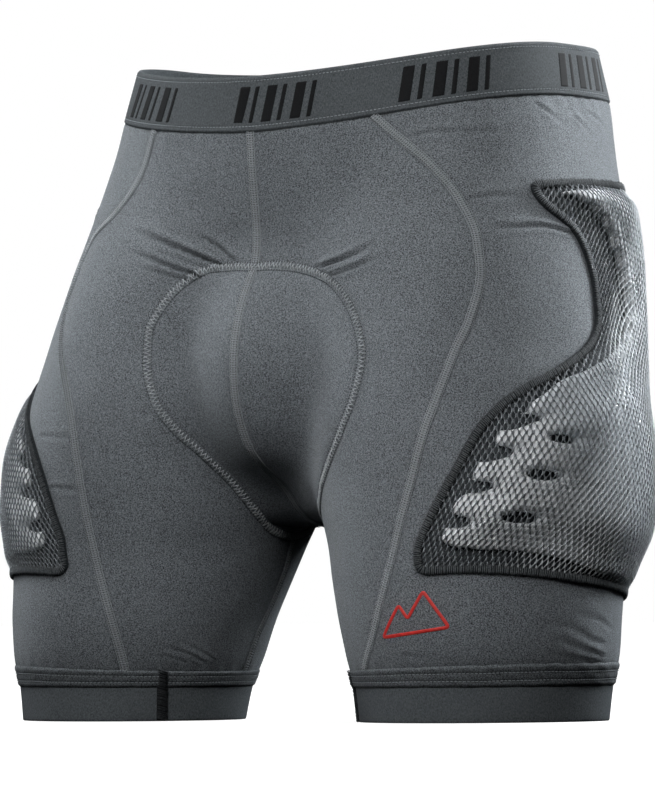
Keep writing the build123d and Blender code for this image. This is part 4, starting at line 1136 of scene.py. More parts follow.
JOIN = {1: -47.0, -1: -47.0}
for side, s in ((1, "left"), (-1, "right")):
    n = 420
    # gripper
    zs = np.r_[0.0, 0.35, 0.9, np.linspace(1.6, GRIPPER_H + 2.5, 18)]
    P, N = leg_rings(side, zs, n)
    P[0, :, 2] = 0.0
    ang = np.radians(-90 + 360.0*np.arange(n)/n)
    peri = np.linalg.norm(np.roll(P, -1, 1) - P, axis=2)
    U = np.concatenate([np.zeros((len(zs), 1)), np.cumsum(peri, 1)], 1)
    V = np.broadcast_to(zs[:, None], U.shape)
    h = 0.12*np.sin(ang*9 + 1.0)[None, :]*np.sin(zs/7.0)[:, None] - 0.35*np.exp(-(zs/0.5)**2)[:, None]
    h = h - 0.5*np.clip((zs - GRIPPER_H + 0.5)/2, 0, 1)[:, None]
    O = P + h[..., None]*N; I = P - (1.45 - 0.3*np.exp(-(zs/0.5)**2))[:, None, None]*N
    shell("gripper_elastic_" + s, O, I, True, U, V, M["gripper"], "leg_gripper_" + s)
    # turned hem: soft rolls either side of two sunk stitch rows
    zs = np.linspace(GRIPPER_H - 0.4, HEM_TOP + 0.9, 34)
    P, N = leg_rings(side, zs, n)
    peri = np.linalg.norm(np.roll(P, -1, 1) - P, axis=2)
    U = np.concatenate([np.zeros((len(zs), 1)), np.cumsum(peri, 1)], 1)
    V = np.broadcast_to(zs[:, None], U.shape)
    z = zs[:, None]; a = ang[None, :]
    wob = 0.5*np.sin(a*7 + side) + 0.35*np.sin(a*17 + 2.0)
    e = np.minimum(z - zs[0], zs[-1] - z)
    h = 1.15*(1 - np.exp(-(e/1.0)**1.6))
    for z0, dp in ((24.4, 0.55), (29.2, 0.55)):
        h = h - dp*np.exp(-((z - z0 - 0.25*wob)/0.75)**2)
    puck = np.sin(U[:, :-1]*1.5 + 1.3*np.sin(U[:, :-1]*0.31))
    h = h + 0.13*puck*np.exp(-((z - 26.8)/3.2)**2) + 0.12*np.sin(U[:, :-1]*0.35 + z*0.4) + 0.14*wob*np.clip((z - 28)/5, 0, 1)
    O = P + h[..., None]*N; I = P - 1.0*N
    shell("hem_roll_" + s, O, I, True, U, V, M["hem"], "leg_hem_band_" + s)
    for k, z0 in enumerate((24.4, 29.2)):
        m = int(475/2.3)
        aa = -90 + 360.0*(np.arange(m)[:, None] + np.linspace(-0.36, 0.36, 4)[None, :])/m
        P = surf(np.full(aa.shape, z0) + 0.25*(0.5*np.sin(np.radians(aa)*7 + side) + 0.35*np.sin(np.radians(aa)*17 + 2.0)), aa)*np.array([side, 1, 1])
        N = unit(normal(P)*np.array([1, 1, 0.0]))
        lift = 0.90 + 0.20*np.cos(np.linspace(-0.5, 0.5, 4)*np.pi)
        threads("hem_stitch_row_%d_%s" % (k + 1, s), P + N*lift[None, :, None], N, 0.36, M["hem_thread"], 5)
    # silicone grip print inside
    for k, z0 in enumerate((5.0, 10.5, 16.0)):
        zz = np.linspace(z0 - 1.2, z0 + 1.2, 7)
        P, N = leg_rings(side, zz, 200)
        hh = 0.55*np.sqrt(np.clip(1 - ((zz - z0)/1.25)**2, 0, 1))[:, None, None]
        O = P - (1.50 + hh)*N; I = P - 1.40*N
        ob = shell("silicone_bead_%d_%s" % (k + 1, s), I, O, True, None, None, M["silicone"])
        if k == 0:
            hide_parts("silicone_grip_rings_" + s)
    # overlocked join over gripper and hem
    r = np.linspace(0.8, HEM_TOP - 0.3, 40)
    path = at(r, np.full(40, JOIN[side]) + 2.2*(r/HEM_TOP), side)
    step = 0.6
    m = int(length(path)/step)
    Pp = resample(path, m); Nn = unit(normal(Pp)*np.array([1, 1, 0])); Tt = unit(np.gradient(Pp, axis=0)); Bb = np.cross(Nn, Tt)
    x = np.linspace(-1, 1, 11)
    onhem = np.clip((Pp[:, 2] - GRIPPER_H + 1)/2, 0, 1)
    hh = (0.95 + 0.85*onhem)[:, None]*(1 - np.abs(x)**2.6)[None, :] + 0.12*np.sin(np.arange(m)*1.7)[:, None]*(1 - x**2)[None, :]
    O = Pp[:, None] + Bb[:, None]*(x*3.3)[None, :, None] + Nn[:, None]*hh[..., None]
    I = Pp[:, None] + Bb[:, None]*(x*3.3)[None, :, None] + Nn[:, None]*(-0.6 + 0*hh)[..., None]
    shell("hem_join_ridge_" + s, O, I, False, None, None, M["join"], "gripper_join_seam_" + s)
    n2 = int(length(path)/1.05)
    Pp = resample(path, n2); Nn = unit(normal(Pp)*np.array([1, 1, 0])); Tt = unit(np.gradient(Pp, axis=0)); Bb = np.cross(Nn, Tt)
    onhem = np.clip((Pp[:, 2] - GRIPPER_H + 1)/2, 0, 1)
    t = np.linspace(-1, 1, 7)
    lift = (1.05 + 0.85*onhem)[:, None]*(1 - np.abs(t)**2.6)[None, :] + 0.12
    rs = np.random.RandomState(40 + side)
    wob = 0.25*rs.normal(size=(n2, 1)).clip(-2, 2)
    seg = (Pp[:, None] + Bb[:, None]*((t*3.5)[None, :] + wob*(1 - np.abs(t))[None, :])[..., None]
           + Tt[:, None]*((t*0.9)[None, :] + wob)[..., None] + Nn[:, None]*(lift + 0.25*np.abs(wob))[..., None])
    seg[..., 2] = np.maximum(seg[..., 2], 0.45)
    threads("hem_join_overlock_" + s, seg, np.repeat(Nn[:, None], 7, 1), 0.42, M["dark_thread"], 5)
note("hems ready")


# =====================================================================================
# pockets: flat coordinates in millimetres, X along the body and Y up it
# =====================================================================================
POCKET_FRONT = {
    1: [(316, 63.5), (305, 67.5), (297, 73), (287, 79), (269, 83.5), (252, 85.5), (234, 85.5), (220, 80.5),
        (206, 67.5), (194, 49.5), (181, 39), (164, 31.5), (146, 23.5), (130, 17), (114, 12.5), (103, 12.5)],
    -1: [(316, 63.5), (305, 67.5), (297, 73), (287, 79), (269, 83.5), (252, 85.5), (234, 85.5), (220, 80.5),
         (208, 67), (197, 49), (188, 36), (174, 25.5), (152, 15.5), (133, 8), (120, 4), (110, 5.5)]}
POCKET_REAR = [(319, 132), (300, 129), (275, 130), (243, 135), (192, 146), (140, 153), (100, 156), (73, 155)]


def smooth_table(pts, n):
    a = np.array(pts, float)
    d = np.r_[0, np.cumsum(np.hypot(np.diff(a[:, 0]), 1.6*np.diff(a[:, 1])))]
    t = np.linspace(0, d[-1], n)
    return np.stack([pchip(d, a[:, 0])(t), pchip(d, a[:, 1])(t)], -1)


def pocket_uv(side, u, v):
    """Chart position inside the pocket: u 0 front to 1 rear, v 0 top to 1 bottom."""
    F = smooth_table(POCKET_FRONT[side], 201); R = smooth_table(POCKET_REAR, 201)
    i = np.linspace(0, 1, 201)
    f = np.stack([np.interp(v, i, F[:, k]) for k in (0, 1)], -1)
    r = np.stack([np.interp(v, i, R[:, k]) for k in (0, 1)], -1)
    q = f*(1 - u)[..., None] + r*u[..., None]
    q[..., 0] -= 7.0*np.sin(math.pi*u)*v**6
    return q


class Flat:
    """Regular table of body points and normals over flat coordinates."""

    def __init__(self, X, Y, P):
        self.X, self.Y, self.P = X, Y, P
        self.N = normal(P)
        self.step = X[1] - X[0]

    def weights(self, x, y):
        i = np.clip((x - self.X[0])/self.step, 0, len(self.X) - 1.001)
        j = np.clip((y - self.Y[0])/self.step, 0, len(self.Y) - 1.001)
        i0, j0 = i.astype(int), j.astype(int)
        return i0, j0, i - i0, j - j0

    def pick(self, T, x, y):
        i, j, a, b = self.weights(x, y)
        if T.ndim == 3:
            a, b = a[..., None], b[..., None]
        return (T[j, i]*(1-a)*(1-b) + T[j, i+1]*a*(1-b) + T[j+1, i]*(1-a)*b + T[j+1, i+1]*a*b)

    def put(self, x, y, h):
        n = unit(self.pick(self.N, x, y))
        return self.pick(self.P, x, y) + n*np.asarray(h)[..., None], n


def side_plane(side):
    """The side of the leg as a flat table, X measured from the side line towards the rear."""
    st = 1.4
    Y = np.arange(64.0, 334.0, st)
    a = np.arange(-8.0, 174.0, 2.0)
    P = surf(Y[:, None] + 0*a, a + 0*Y[:, None])
    s = np.concatenate([np.zeros((len(Y), 1)), np.cumsum(np.linalg.norm(np.diff(P, axis=1), axis=2), 1)], 1)
    k = int(np.argmin(np.abs(a - 90)))
    S = s - s[:, k:k+1]
    X = np.arange(-150.0, 150.0, st)
    A = np.stack([np.interp(X, S[i], a) for i in range(len(Y))])
    T = surf(Y[:, None] + 0*A, A)*np.array([side, 1, 1])

    def flat(z, al):
        z = np.asarray(z, float); al = np.asarray(al, float)
        j = np.clip((z - Y[0])/st, 0, len(Y) - 1.001); i = np.clip((al - a[0])/2.0, 0, len(a) - 1.001)
        j0, i0 = j.astype(int), i.astype(int); fj, fi = j - j0, i - i0
        x = (S[j0, i0]*(1-fi)*(1-fj) + S[j0, i0+1]*fi*(1-fj) + S[j0+1, i0]*(1-fi)*fj + S[j0+1, i0+1]*fi*fj)
        return np.stack([x, z], -1)
    return Flat(X, Y, T), flat


def signed(poly, X, Y):
    """Distance inside a closed outline, negative outside it."""
    x = np.asarray(X, float).ravel(); y = np.asarray(Y, float).ravel()
    best = np.full(x.shape, 1e9); inside = np.zeros(x.shape, bool)
    for (x0, y0), (x1, y1) in zip(poly, np.roll(poly, -1, 0)):
        dx, dy = x1 - x0, y1 - y0
        t = np.clip(((x - x0)*dx + (y - y0)*dy)/(dx*dx + dy*dy + 1e-12), 0, 1)
        best = np.minimum(best, (x - x0 - t*dx)**2 + (y - y0 - t*dy)**2)
        if dy != 0:
            inside ^= ((y0 > y) != (y1 > y)) & (x < dx*(y - y0)/dy + x0)
    d = np.sqrt(best)
    return np.where(inside, d, -d).reshape(np.shape(X))


def round_outline(p, sigma, step=1.0):
    """Evenly spaced closed outline with its corners rounded."""
    p = resample_lin(p, int(closed_len(p)/step))
    k = int(3*sigma/step)
    w = np.exp(-0.5*(np.arange(-k, k+1)*step/sigma)**2); w /= w.sum()
    q = np.vstack([p[-k:], p, p[:k]])
    return np.stack([np.convolve(q[:, i], w, "valid") for i in (0, 1)], -1)


def closed_len(p):
    return float(np.linalg.norm(np.diff(np.vstack([p, p[:1]]), axis=0), axis=1).sum())


def resample_lin(p, n):
    q = np.vstack([p, p[:1]])
    d = np.r_[0, np.cumsum(np.linalg.norm(np.diff(q, axis=0), axis=1))]
    t = np.linspace(0, d[-1], n + 1)[:-1]
    return np.stack([np.interp(t, d, q[:, i]) for i in range(q.shape[1])], -1)


def blur(A, n):
    for _ in range(n):
        B = np.pad(A, 1, mode="edge")
        A = (4*A + B[:-2, 1:-1] + B[2:, 1:-1] + B[1:-1, :-2] + B[1:-1, 2:])/8
    return A


def membrane(start, obstacle, fixed, edge, n):
    """Cloth stretched from its edge over what lies beneath it."""
    A = np.maximum(start, obstacle)
    for _ in range(n):
        B = np.pad(A, 1, mode="edge")
        A = np.maximum((B[:-2, 1:-1] + B[2:, 1:-1] + B[1:-1, :-2] + B[1:-1, 2:])/4, obstacle)
        A = np.where(fixed, edge, A)
    return A


def net(name, flat, outline, H, flip, mat, node, a=3.85, b=3.3, h1=0.45, lens=(1.12, 2.5), thick=0.46, seed=1,
        lean=-12.0):
    """Spacer mesh: knitted net with upright lens holes in staggered rows, one closed solid.

    lean is the angle of its rows, in degrees.
    """
    h2 = b - h1
    co, si = math.cos(math.radians(lean)), math.sin(math.radians(lean))
    turn = np.array([[co, si], [-si, co]])
    box = outline @ turn.T
    x0, y0 = box.min(0); x1, y1 = box.max(0)
    i, j = np.meshgrid(np.arange(int((x1-x0)/a) + 3), np.arange(int((y1-y0)/b) + 3))
    c0 = np.stack([(x0 + i*a + (j % 2)*a/2).ravel(), (y0 + j*b).ravel()], -1)
    back = c0 @ turn
    keep = signed(outline, back[:, 0], back[:, 1]) > 0.6
    cx, cy = c0[keep].T
    c = np.array([(a/2, -h1), (a/2, h1), (0, h2), (-a/2, h1), (-a/2, -h1), (0, -h2)])
    hexa = np.stack([c, (c + np.roll(c, -1, 0))/2], 1).reshape(-1, 2)
    th = np.radians([-25, 0, 25, 56, 90, 124, 155, 180, 205, 236, 270, 304])
    hole = np.stack([lens[0]*np.sign(np.cos(th))*np.abs(np.cos(th))**1.2, lens[1]*np.sin(th)], -1)
    hexa = hexa[[0, 1, 2, 3, 4, 5, 6, 7, 8, 9, 10, 11]]
    # order of hexa: corner 0, middle of right side, corner 1, and so on: matches th
    rs = np.random.RandomState(seed)
    jit = 1 + 0.10*rs.normal(size=(len(cx), 1, 2)).clip(-1.5, 1.5)*np.array([1.0, 0.5])
    off = 0.12*rs.normal(size=(len(cx), 1, 2)).clip(-1.5, 1.5)
    C = np.stack([cx, cy], -1)[:, None, :]
    Hx = C + hexa[None]
    Ho = C + hole[None]*jit + off
    key = np.round(Hx.reshape(-1, 2)*40).astype(np.int64)
    _, first, inv = np.unique(key, axis=0, return_index=True, return_inverse=True)
    inv = np.asarray(inv).reshape(len(cx), 12)
    HU = Hx.reshape(-1, 2)[first]
    nh, nc = len(HU), len(cx)
    mid = 0.45*Ho + 0.55*Hx
    pts = [HU, HU, mid.reshape(-1, 2), Ho.reshape(-1, 2)]
    dz = [0*HU[:, 0] + thick, 0*HU[:, 0] - thick*0.8, np.full(nc*12, thick*0.78), np.zeros(nc*12)]
    # thread crossings stand a little higher than the threads between them
    cor = np.zeros(nh); isc = np.zeros((nc, 12)); isc[:, ::2] = 1
    cor[inv.ravel()] = isc.ravel()
    dz[0] = dz[0] + 0.14*cor
    XY = np.vstack(pts) @ turn
    V, _ = flat.put(XY[:, 0], XY[:, 1], flat.pick(H, XY[:, 0], XY[:, 1]) + np.concatenate(dz))
    k = np.arange(12); k1 = (k + 1) % 12
    base_m = 2*nh + np.arange(nc)[:, None]*12
    base_o = base_m + nc*12
    ht, hb = inv, inv + nh
    q = [np.stack([ht[:, k], ht[:, k1], base_m + k1, base_m + k], -1),
         np.stack([base_m + k, base_m + k1, base_o + k1, base_o + k], -1),
         np.stack([base_o + k, base_o + k1, hb[:, k1], hb[:, k]], -1)]
    Q = np.concatenate([x.reshape(-1, 4) for x in q])
    e = np.stack([ht[:, k], ht[:, k1]], -1).reshape(-1, 2)
    es = np.sort(e, 1); code = es[:, 0]*np.int64(nh) + es[:, 1]
    _, idx, cnt = np.unique(code, return_index=True, return_counts=True)
    lone = e[idx[cnt == 1]]
    Q = np.vstack([Q, np.stack([lone[:, 1], lone[:, 0], lone[:, 0] + nh, lone[:, 1] + nh], -1)])
    if flip:
        Q = Q[:, ::-1]
    ob = new_object(name, V, Q, None, mat)
    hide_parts(node)
    return ob


def field_solid(name, flat, mask, top, bottom, flip, mat, node, U0=0):
    """Closed solid over the table cells of a mask, between two height fields."""
    ny, nx = mask.shape
    cell = mask[:-1, :-1] & mask[1:, :-1] & mask[:-1, 1:] & mask[1:, 1:]
    jj, ii = np.where(cell)
    ids = jj*nx + ii
    q = np.stack([ids, ids + 1, ids + nx + 1, ids + nx], -1)
    used = np.unique(q)
    remap = -np.ones(nx*ny, int); remap[used] = np.arange(len(used))
    q = remap[q]; n = len(used)
    P = flat.P.reshape(-1, 3)[used]; N = flat.N.reshape(-1, 3)[used]
    T = P + N*top.ravel()[used][:, None]; B = P + N*bottom.ravel()[used][:, None]
    e = np.concatenate([q[:, [0, 1]], q[:, [1, 2]], q[:, [2, 3]], q[:, [3, 0]]])
    es = np.sort(e, 1); code = es[:, 0]*np.int64(n) + es[:, 1]
    _, idx, cnt = np.unique(code, return_index=True, return_counts=True)
    lone = e[idx[cnt == 1]]
    Q = np.vstack([q, q[:, ::-1] + n, np.stack([lone[:, 1], lone[:, 0], lone[:, 0] + n, lone[:, 1] + n], -1)])
    if flip:
        Q = Q[:, ::-1]
    ob = new_object(name, np.vstack([T, B]), Q, None, mat)
    if node:
        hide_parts(node)
    return ob


def set_mesh(ob, me):
    old = ob.data
    mats = [m for m in old.materials]
    ob.data = me
    me.materials.clear()
    for m in mats:
        me.materials.append(m)
    me.polygons.foreach_set("use_smooth", np.full(len(me.polygons), True))
    bpy.data.meshes.remove(old)


def puff(ob, voxel, pressure, cap, frames=18, subdiv=1):
    """Swells a stuffed piece under its own pressure: remesh, cloth, cap on the movement, one subdivision."""
    md = ob.modifiers.new("remesh", "REMESH")
    md.mode = "VOXEL"; md.voxel_size = voxel; md.use_smooth_shade = True
    dg = bpy.context.evaluated_depsgraph_get(); dg.update()
    me = bpy.data.meshes.new_from_object(ob.evaluated_get(dg))
    ob.modifiers.remove(md)
    set_mesh(ob, me)
    v0 = np.zeros(len(me.vertices)*3, np.float32); me.vertices.foreach_get("co", v0)
    cl = ob.modifiers.new("cloth", "CLOTH")
    st = cl.settings
    st.quality = 5; st.mass = 0.2
    st.tension_stiffness = st.compression_stiffness = 25
    st.shear_stiffness = 12; st.bending_stiffness = 1.0
    st.use_pressure = True; st.uniform_pressure_force = pressure
    st.effector_weights.gravity = 0
    cl.collision_settings.use_collision = False
    sc = bpy.context.scene
    for f in range(1, frames + 1):
        sc.frame_set(f)
    dg = bpy.context.evaluated_depsgraph_get()
    em = ob.evaluated_get(dg).to_mesh()
    v1 = np.zeros(len(v0), np.float32); em.vertices.foreach_get("co", v1)
    ob.evaluated_get(dg).to_mesh_clear()
    ob.modifiers.remove(cl)
    sc.frame_set(1)
    d = (v1 - v0).reshape(-1, 3).astype(float)
    d -= d.mean(0)
    m = np.linalg.norm(d, axis=1)
    d *= (np.minimum(m, cap)/np.maximum(m, 1e-9))[:, None]
    me.vertices.foreach_set("co", (v0.reshape(-1, 3) + d).astype(np.float32).ravel())
    me.update()
    if subdiv:
        sd = ob.modifiers.new("smooth", "SUBSURF"); sd.levels = sd.render_levels = subdiv
    return ob


def sstep(x):
    x = np.clip(x, 0, 1)
    return x*x*(3 - 2*x)


# pad outline on the chart of the wearer's left side: toothed front edge, lower fingers, rear
PAD_UPPER = [(311, 69.5), (307, 80), (299, 88), (288, 94), (275, 98), (258, 102.5), (243, 105.5), (227, 101.5),
             (217, 94.5)]
PAD_FINGERS = [(204, 75.5), (200, 66.5), (194, 61), (190, 56), (187, 54), (184, 55), (184, 49), (179, 45),
               (173, 42.5), (169, 43), (166, 47.5), (167, 41), (162, 37), (154, 34), (150, 34.5), (146, 38.5),
               (146, 32.5), (143, 28.5), (135, 26), (129, 26.5), (125, 30.5), (128, 24), (123, 21.5), (118, 21.5),
               (113, 25.5), (108, 33.5), (102, 47.5), (95, 63), (85, 83.5)]
PAD_BACK = [(82, 104), (85, 126), (95, 145), (120, 147), (165, 141), (210, 133), (250, 126), (285, 122),
            (305, 121), (313, 112), (315, 92)]

def toothed(pts, pitch, depth):
    """Saw-toothed version of an edge on the chart."""
    a = np.array(pts, float)
    d = np.r_[0, np.cumsum(np.hypot(np.diff(a[:, 0]), 1.6*np.diff(a[:, 1])))]
    t = np.arange(0, d[-1], 1.2)
    q = np.stack([np.interp(t, d, a[:, i]) for i in (0, 1)], -1)
    w = (t % pitch)/pitch
    tri = np.where(w < 0.72, w/0.72, (1 - w)/0.28)
    q[:, 1] += depth*(1 - tri)
    return q


fl_left, to_left = side_plane(1)
ii = np.linspace(0, 1, 160)


def pocket_outline(side, to):
    q = np.vstack([pocket_uv(side, ii, 0*ii)[:-1], pocket_uv(side, 0*ii + 1, ii)[:-1],
                   pocket_uv(side, ii[::-1], 0*ii + 1)[:-1], pocket_uv(side, 0*ii, ii[::-1])[:-1]])
    return round_outline(to(q[:, 0], q[:, 1]), 4.0)


# the pad's outline in pocket coordinates, so that it fits both sides
gu, gv = np.meshgrid(np.linspace(0, 1, 240), np.linspace(0, 1, 240))
GQ = pocket_uv(1, gu, gv)


def to_uv(q):
    out = []
    for z, a in q:
        d = (GQ[..., 0] - z)**2 + (1.6*(GQ[..., 1] - a))**2
        k = np.unravel_index(np.argmin(d), d.shape)
        out.append((gu[k], gv[k]))
    return np.array(out)


pad_uv = to_uv(np.vstack([toothed(PAD_UPPER, 12.0, 3.0), np.array(PAD_FINGERS, float), np.array(PAD_BACK, float)]))
# slots through the pad and gaps between its fingers: two ends on the chart and the greatest width in millimetres
ALMONDS = [((126.2, 39.5), (120.0, 55.5), 7.0), ((150.2, 47.5), (142.6, 63.0), 6.8), ((168.2, 55.5), (163.0, 70.5), 6.0),
           ((142.0, 12.0), (124.4, 34.5), 7.6), ((161.0, 17.5), (144.0, 42.0), 7.6), ((174.0, 24.0), (163.6, 51.0), 7.2),
           ((188.0, 31.0), (180.0, 62.0), 6.6)]

for side, s in ((1, "left"), (-1, "right")):
    if side == 1:
        fl, to = fl_left, to_left
    else:
        fl, to = Flat(fl_left.X, fl_left.Y, fl_left.P*np.array([-1, 1, 1])), to_left
    outline = pocket_outline(side, to)
    XX, YY = np.meshgrid(fl.X, fl.Y)
    d_out = signed(outline, XX, YY)
    q = pocket_uv(side, pad_uv[:, 0], pad_uv[:, 1])
    pad = round_outline(to(q[:, 0], q[:, 1]), 0.8)
    sd = signed(pad, XX, YY)
    # almond slots through the foam, long along the body and tapered at both ends
    for p0, p1, high in ALMONDS:
        uv = to_uv([p0, p1])
        q = pocket_uv(side, uv[:, 0], uv[:, 1])
        e = to(q[:, 0], q[:, 1])
        c, ax = e.mean(0), e[1] - e[0]
        wide = float(np.linalg.norm(ax)); ax = ax/wide
        dx, dy = XX - c[0], YY - c[1]
        ux, uy = (dx*ax[0] + dy*ax[1])/(wide/2), -dx*ax[1] + dy*ax[0]
        body = np.clip(1 - np.abs(ux)**1.6, 0, 1)*high*0.46
        sd = np.minimum(sd, np.where(np.abs(ux) < 1, np.abs(uy) - body, 3.0))
    low_e = 4.2 + 2.6*sstep((YY - 195)/35.0)
    sd0 = signed(round_outline(pad, 8.0), XX, YY)
    hull = low_e + ((10.3 if side == 1 else 7.6) - low_e)*sstep(sd0/30.0)
    hull = np.minimum(hull, 3.0 + 9.0*sstep((d_out - 3.0)/16.0))
    T = hull*np.sqrt(np.clip(1 - (1 - np.clip((sd + 0.6)/2.6, 0, 1))**2, 0, 1))
    edge = d_out < 2.0
    tight = hull*np.sqrt(np.clip(1 - (1 - np.clip((sd0 + 3.0)/7.0, 0, 1))**2, 0, 1))
    tight = np.where(sd0 > -3.0, tight, 0)
    obst = np.where(edge, 1.3, 1.15 + np.maximum(tight, 0.96*T))
    H = membrane(obst, obst, edge, 1.3, 30)
    H = np.where(edge, 1.3, blur(H, 6))
    net("hip_pocket_net_" + s, fl, outline, H, side == -1, M["mesh"], "hip_pocket_mesh_" + s, seed=5 + side)
    # darker sheet under the net: painted shade beneath the mesh
    ob = field_solid("pocket_lining_" + s, fl, d_out > 1.0, 0*T + 0.55, 0*T + 0.1, side == -1, M["lining"], None)
    ob = field_solid("hip_pad_foam_" + s, fl, sd > -0.5, 0.35 + T*0.97, 0*T - 0.2, side == -1, M["foam"],
                     "hip_pad_" + s)
    puff(ob, 0.0020, 3.0, 0.0008, 14, 0)
    path, _ = fl.put(outline[:, 0], outline[:, 1], 0*outline[:, 0])
    strip("pocket_binding_tape_" + s, path, 2.75, lambda x: 1.35*(1 - np.abs(x)**3.0), True, M["binding"],
          "pocket_binding_" + s, rise=0.75, cols=11, step=0.6, rib=0.10, thick=1.0, follow=False)
    rungs("pocket_binding_cover_" + s, path, True, 2.35, 1.15, 0.3, 1.95, M["loop_thread"], 0.30, 0.0, 0.28,
          False, 0.16)
    rungs("pocket_binding_edge_loops_" + s, path, True, 2.9, 1.9, 0.8, 1.25, M["dark_thread"], 0.34, 0.0,
          0.75, False, 0.24)
note("hip pockets ready")

# tailbone pocket across the centre rear
TX = np.arange(-66.0, 66.1, 2.0); TY = np.arange(234.0, 358.0, 2.0)
tx, ty = np.meshgrid(TX, TY)
tail = Flat(TX, TY, on_form(np.stack([tx, 112.0 + 0*tx, ty], -1), 9))


def tail_xy(u, v):
    return np.stack([u*54.0*(1 - 0.36*v**1.6), 343.0 - 93.0*v - 5.0*(1 - u*u)*v + 3.0*(1 - u*u)*(1 - v)], -1)


i = np.linspace(0, 1, 60)


def tail_loop(k, v0, v1):
    f = lambda u, v: tail_xy(u*k, v0 + (v1 - v0)*v)
    return np.vstack([f(2*i - 1, 0*i)[:-1], f(0*i + 1, i)[:-1], f(1 - 2*i, 0*i + 1)[:-1], f(0*i - 1, 1 - i)[:-1]])


outline = round_outline(tail_loop(1.0, 0, 1), 3.5)
pad = round_outline(tail_loop(0.82, 0.10, 0.90), 4.0)
d_out = signed(outline, tx, ty); sd = signed(pad, tx, ty)
# two scored channels run down the pad on either side of the spine
groove = np.exp(-((np.abs(tx) - 16.0)/1.4)**2)
T = (3.0 + 5.3*sstep((sd + 1)/14.0))*np.sqrt(np.clip(1 - (1 - np.clip((sd + 0.6)/4.0, 0, 1))**2, 0, 1))*(1 - 0.35*groove)
edge = d_out < 2.0
obst = np.where(sd > -0.6, 2.3 + T, 1.2); obst = np.where(edge, 2.0, obst)
H = membrane(obst, obst, edge, 2.0, 120)
net("tailbone_net", tail, outline, H, True, M["mesh"], "tailbone_pocket_mesh", seed=9)
# darker sheet under the net: painted shade beneath the mesh
field_solid("tailbone_lining", tail, d_out > 1.0, 0*T + 1.15, 0*T + 0.4, True, M["lining"], None)
ob = field_solid("tailbone_foam", tail, sd > -0.5, 1.6 + T*0.97, 0*T + 1.2, True, M["tail_foam"], "tailbone_pad")
puff(ob, 0.0022, 3.0, 0.0008, 14, 0)
path, _ = tail.put(outline[:, 0], outline[:, 1], 0*outline[:, 0])
strip("tailbone_binding_tape", path, 3.1, lambda x: 1.3*(1 - np.abs(x)**3.2) - 0.25*np.exp(-((np.abs(x) - 0.55)/0.1)**2),
      True, M["binding"], "tailbone_binding", rise=1.6, cols=13, step=0.5, rib=0.14,
      thick=1.4, follow=False)
chain("tailbone_binding_stitch", path, True, (-1.75, 1.75), 2.0, 1.4, 2.75, M["bind_thread"], 0.26, 0.0,
      follow=False)
note("tail pocket ready")


# =====================================================================================
# seat pad inside
# =====================================================================================
def centre_line(z0f, z0r, n):
    r = CROTCH + (z0f - CROTCH)*np.linspace(0, 1, 60)**2
    f = at(r, inner_front(r), 1)
    r2 = CROTCH + (z0r - CROTCH)*np.linspace(0, 1, 60)**2
    b = at(r2, inner_rear(r2), 1)
    P = np.vstack([f[::-1][:-3], mid[None], b[3:]]); P[:, 0] = 0
    return on_form(resample(P, n), 3)


CEN = centre_line(299, 276, 101)
HL = on_form(resample(ring_half(1), 101), 3); HR = on_form(resample(ring_half(-1), 101), 3)


def pad_grid(t0, t1, width, nr, nc):
    t = np.linspace(t0, t1, nr); k = np.linspace(0, 1, 101)
    pick = lambda A: np.stack([np.interp(t, k, A[:, c]) for c in range(3)], -1)
    c, l, r = pick(CEN), pick(HL), pick(HR)
    u = np.linspace(-width, width, nc)
    G = np.stack([c*(1 - abs(x)) + (l if x >= 0 else r)*abs(x) for x in u], 1)
    G = on_form(G, 3)
    tt, uu_ = np.meshgrid(np.linspace(0, 1, nr), np.linspace(0, 1, nc), indexing="ij")
    return G, normal(G), tt, uu_


G, N, tt, qq = pad_grid(0.03, 0.97, 0.9, 150, 60)
e = np.minimum(np.minimum(tt, 1 - tt)*260, np.minimum(qq, 1 - qq)*110)
th = 2.9*(1 - 0.7*np.exp(-(e/4.0)**2))
chan = np.exp(-((np.abs(qq - 0.5)*110 - 16.0)/1.6)**2)*((tt > 0.12) & (tt < 0.86))
th = th - 0.9*chan
U = np.cumsum(np.r_[0, np.full(59, 1.9)])[None, :] + 0*tt; V = np.cumsum(np.full(150, 2.0))[:, None] + 0*tt
shell("seat_pad_base", G - (2.1 + th)[..., None]*N, G - 2.1*N, False, U, V, M["chamois"], "chamois_base")
for name, node, t0, t1, w, t_ in (("seat_pad_front_cushion", "chamois_front_foam", 0.10, 0.44, 0.5, 4.4),
                                  ("seat_pad_rear_cushion", "chamois_seat_foam", 0.60, 0.93, 0.72, 6.0)):
    G, N, tt, qq = pad_grid(t0, t1, w, 64, 40)
    f = (1 - np.abs(2*tt - 1)**5)*(1 - np.abs(2*qq - 1)**5)
    if "rear" in name:
        f = f*(1 - 0.35*np.exp(-((qq - 0.5)/0.05)**2))
    O = G - (5.0 + 1.0 + (t_ - 1.4)*f)[..., None]*N
    ob = shell(name, O, G - 4.9*N, False, None, None, M["chamois"], node)
    puff(ob, 0.0030, 3.0, 0.0012, 14, 1)
note("seat pad ready")

# =====================================================================================
# emblem and care label
# =====================================================================================
P0 = at(np.array([71.0]), np.array([6.5]), 1)[0]
n0 = normal(P0[None])[0]
h0 = unit(np.cross(np.array([0, 0, 1.0]), n0)); v0 = np.cross(n0, h0)
pts = np.array([(-22, -12), (-9, 7), (-3, -1), (7, 15), (23, -6)], float)
d = np.vstack([pts[k]*(1 - t) + pts[(k + 1) % 5]*t for k in range(5) for t in np.linspace(0, 1, 24)[:-1]])
d = round_outline(d, 1.4, 0.5)
path = on_form(P0 + d[:, :1]*h0 + d[:, 1:]*v0, 4)
strip("leg_mark", path, 1.0, lambda x: 0.16*(1 - np.abs(x)**6), True, M["emblem"], "leg_emblem",
      rise=0.12, cols=7, step=0.5, thick=0.3)

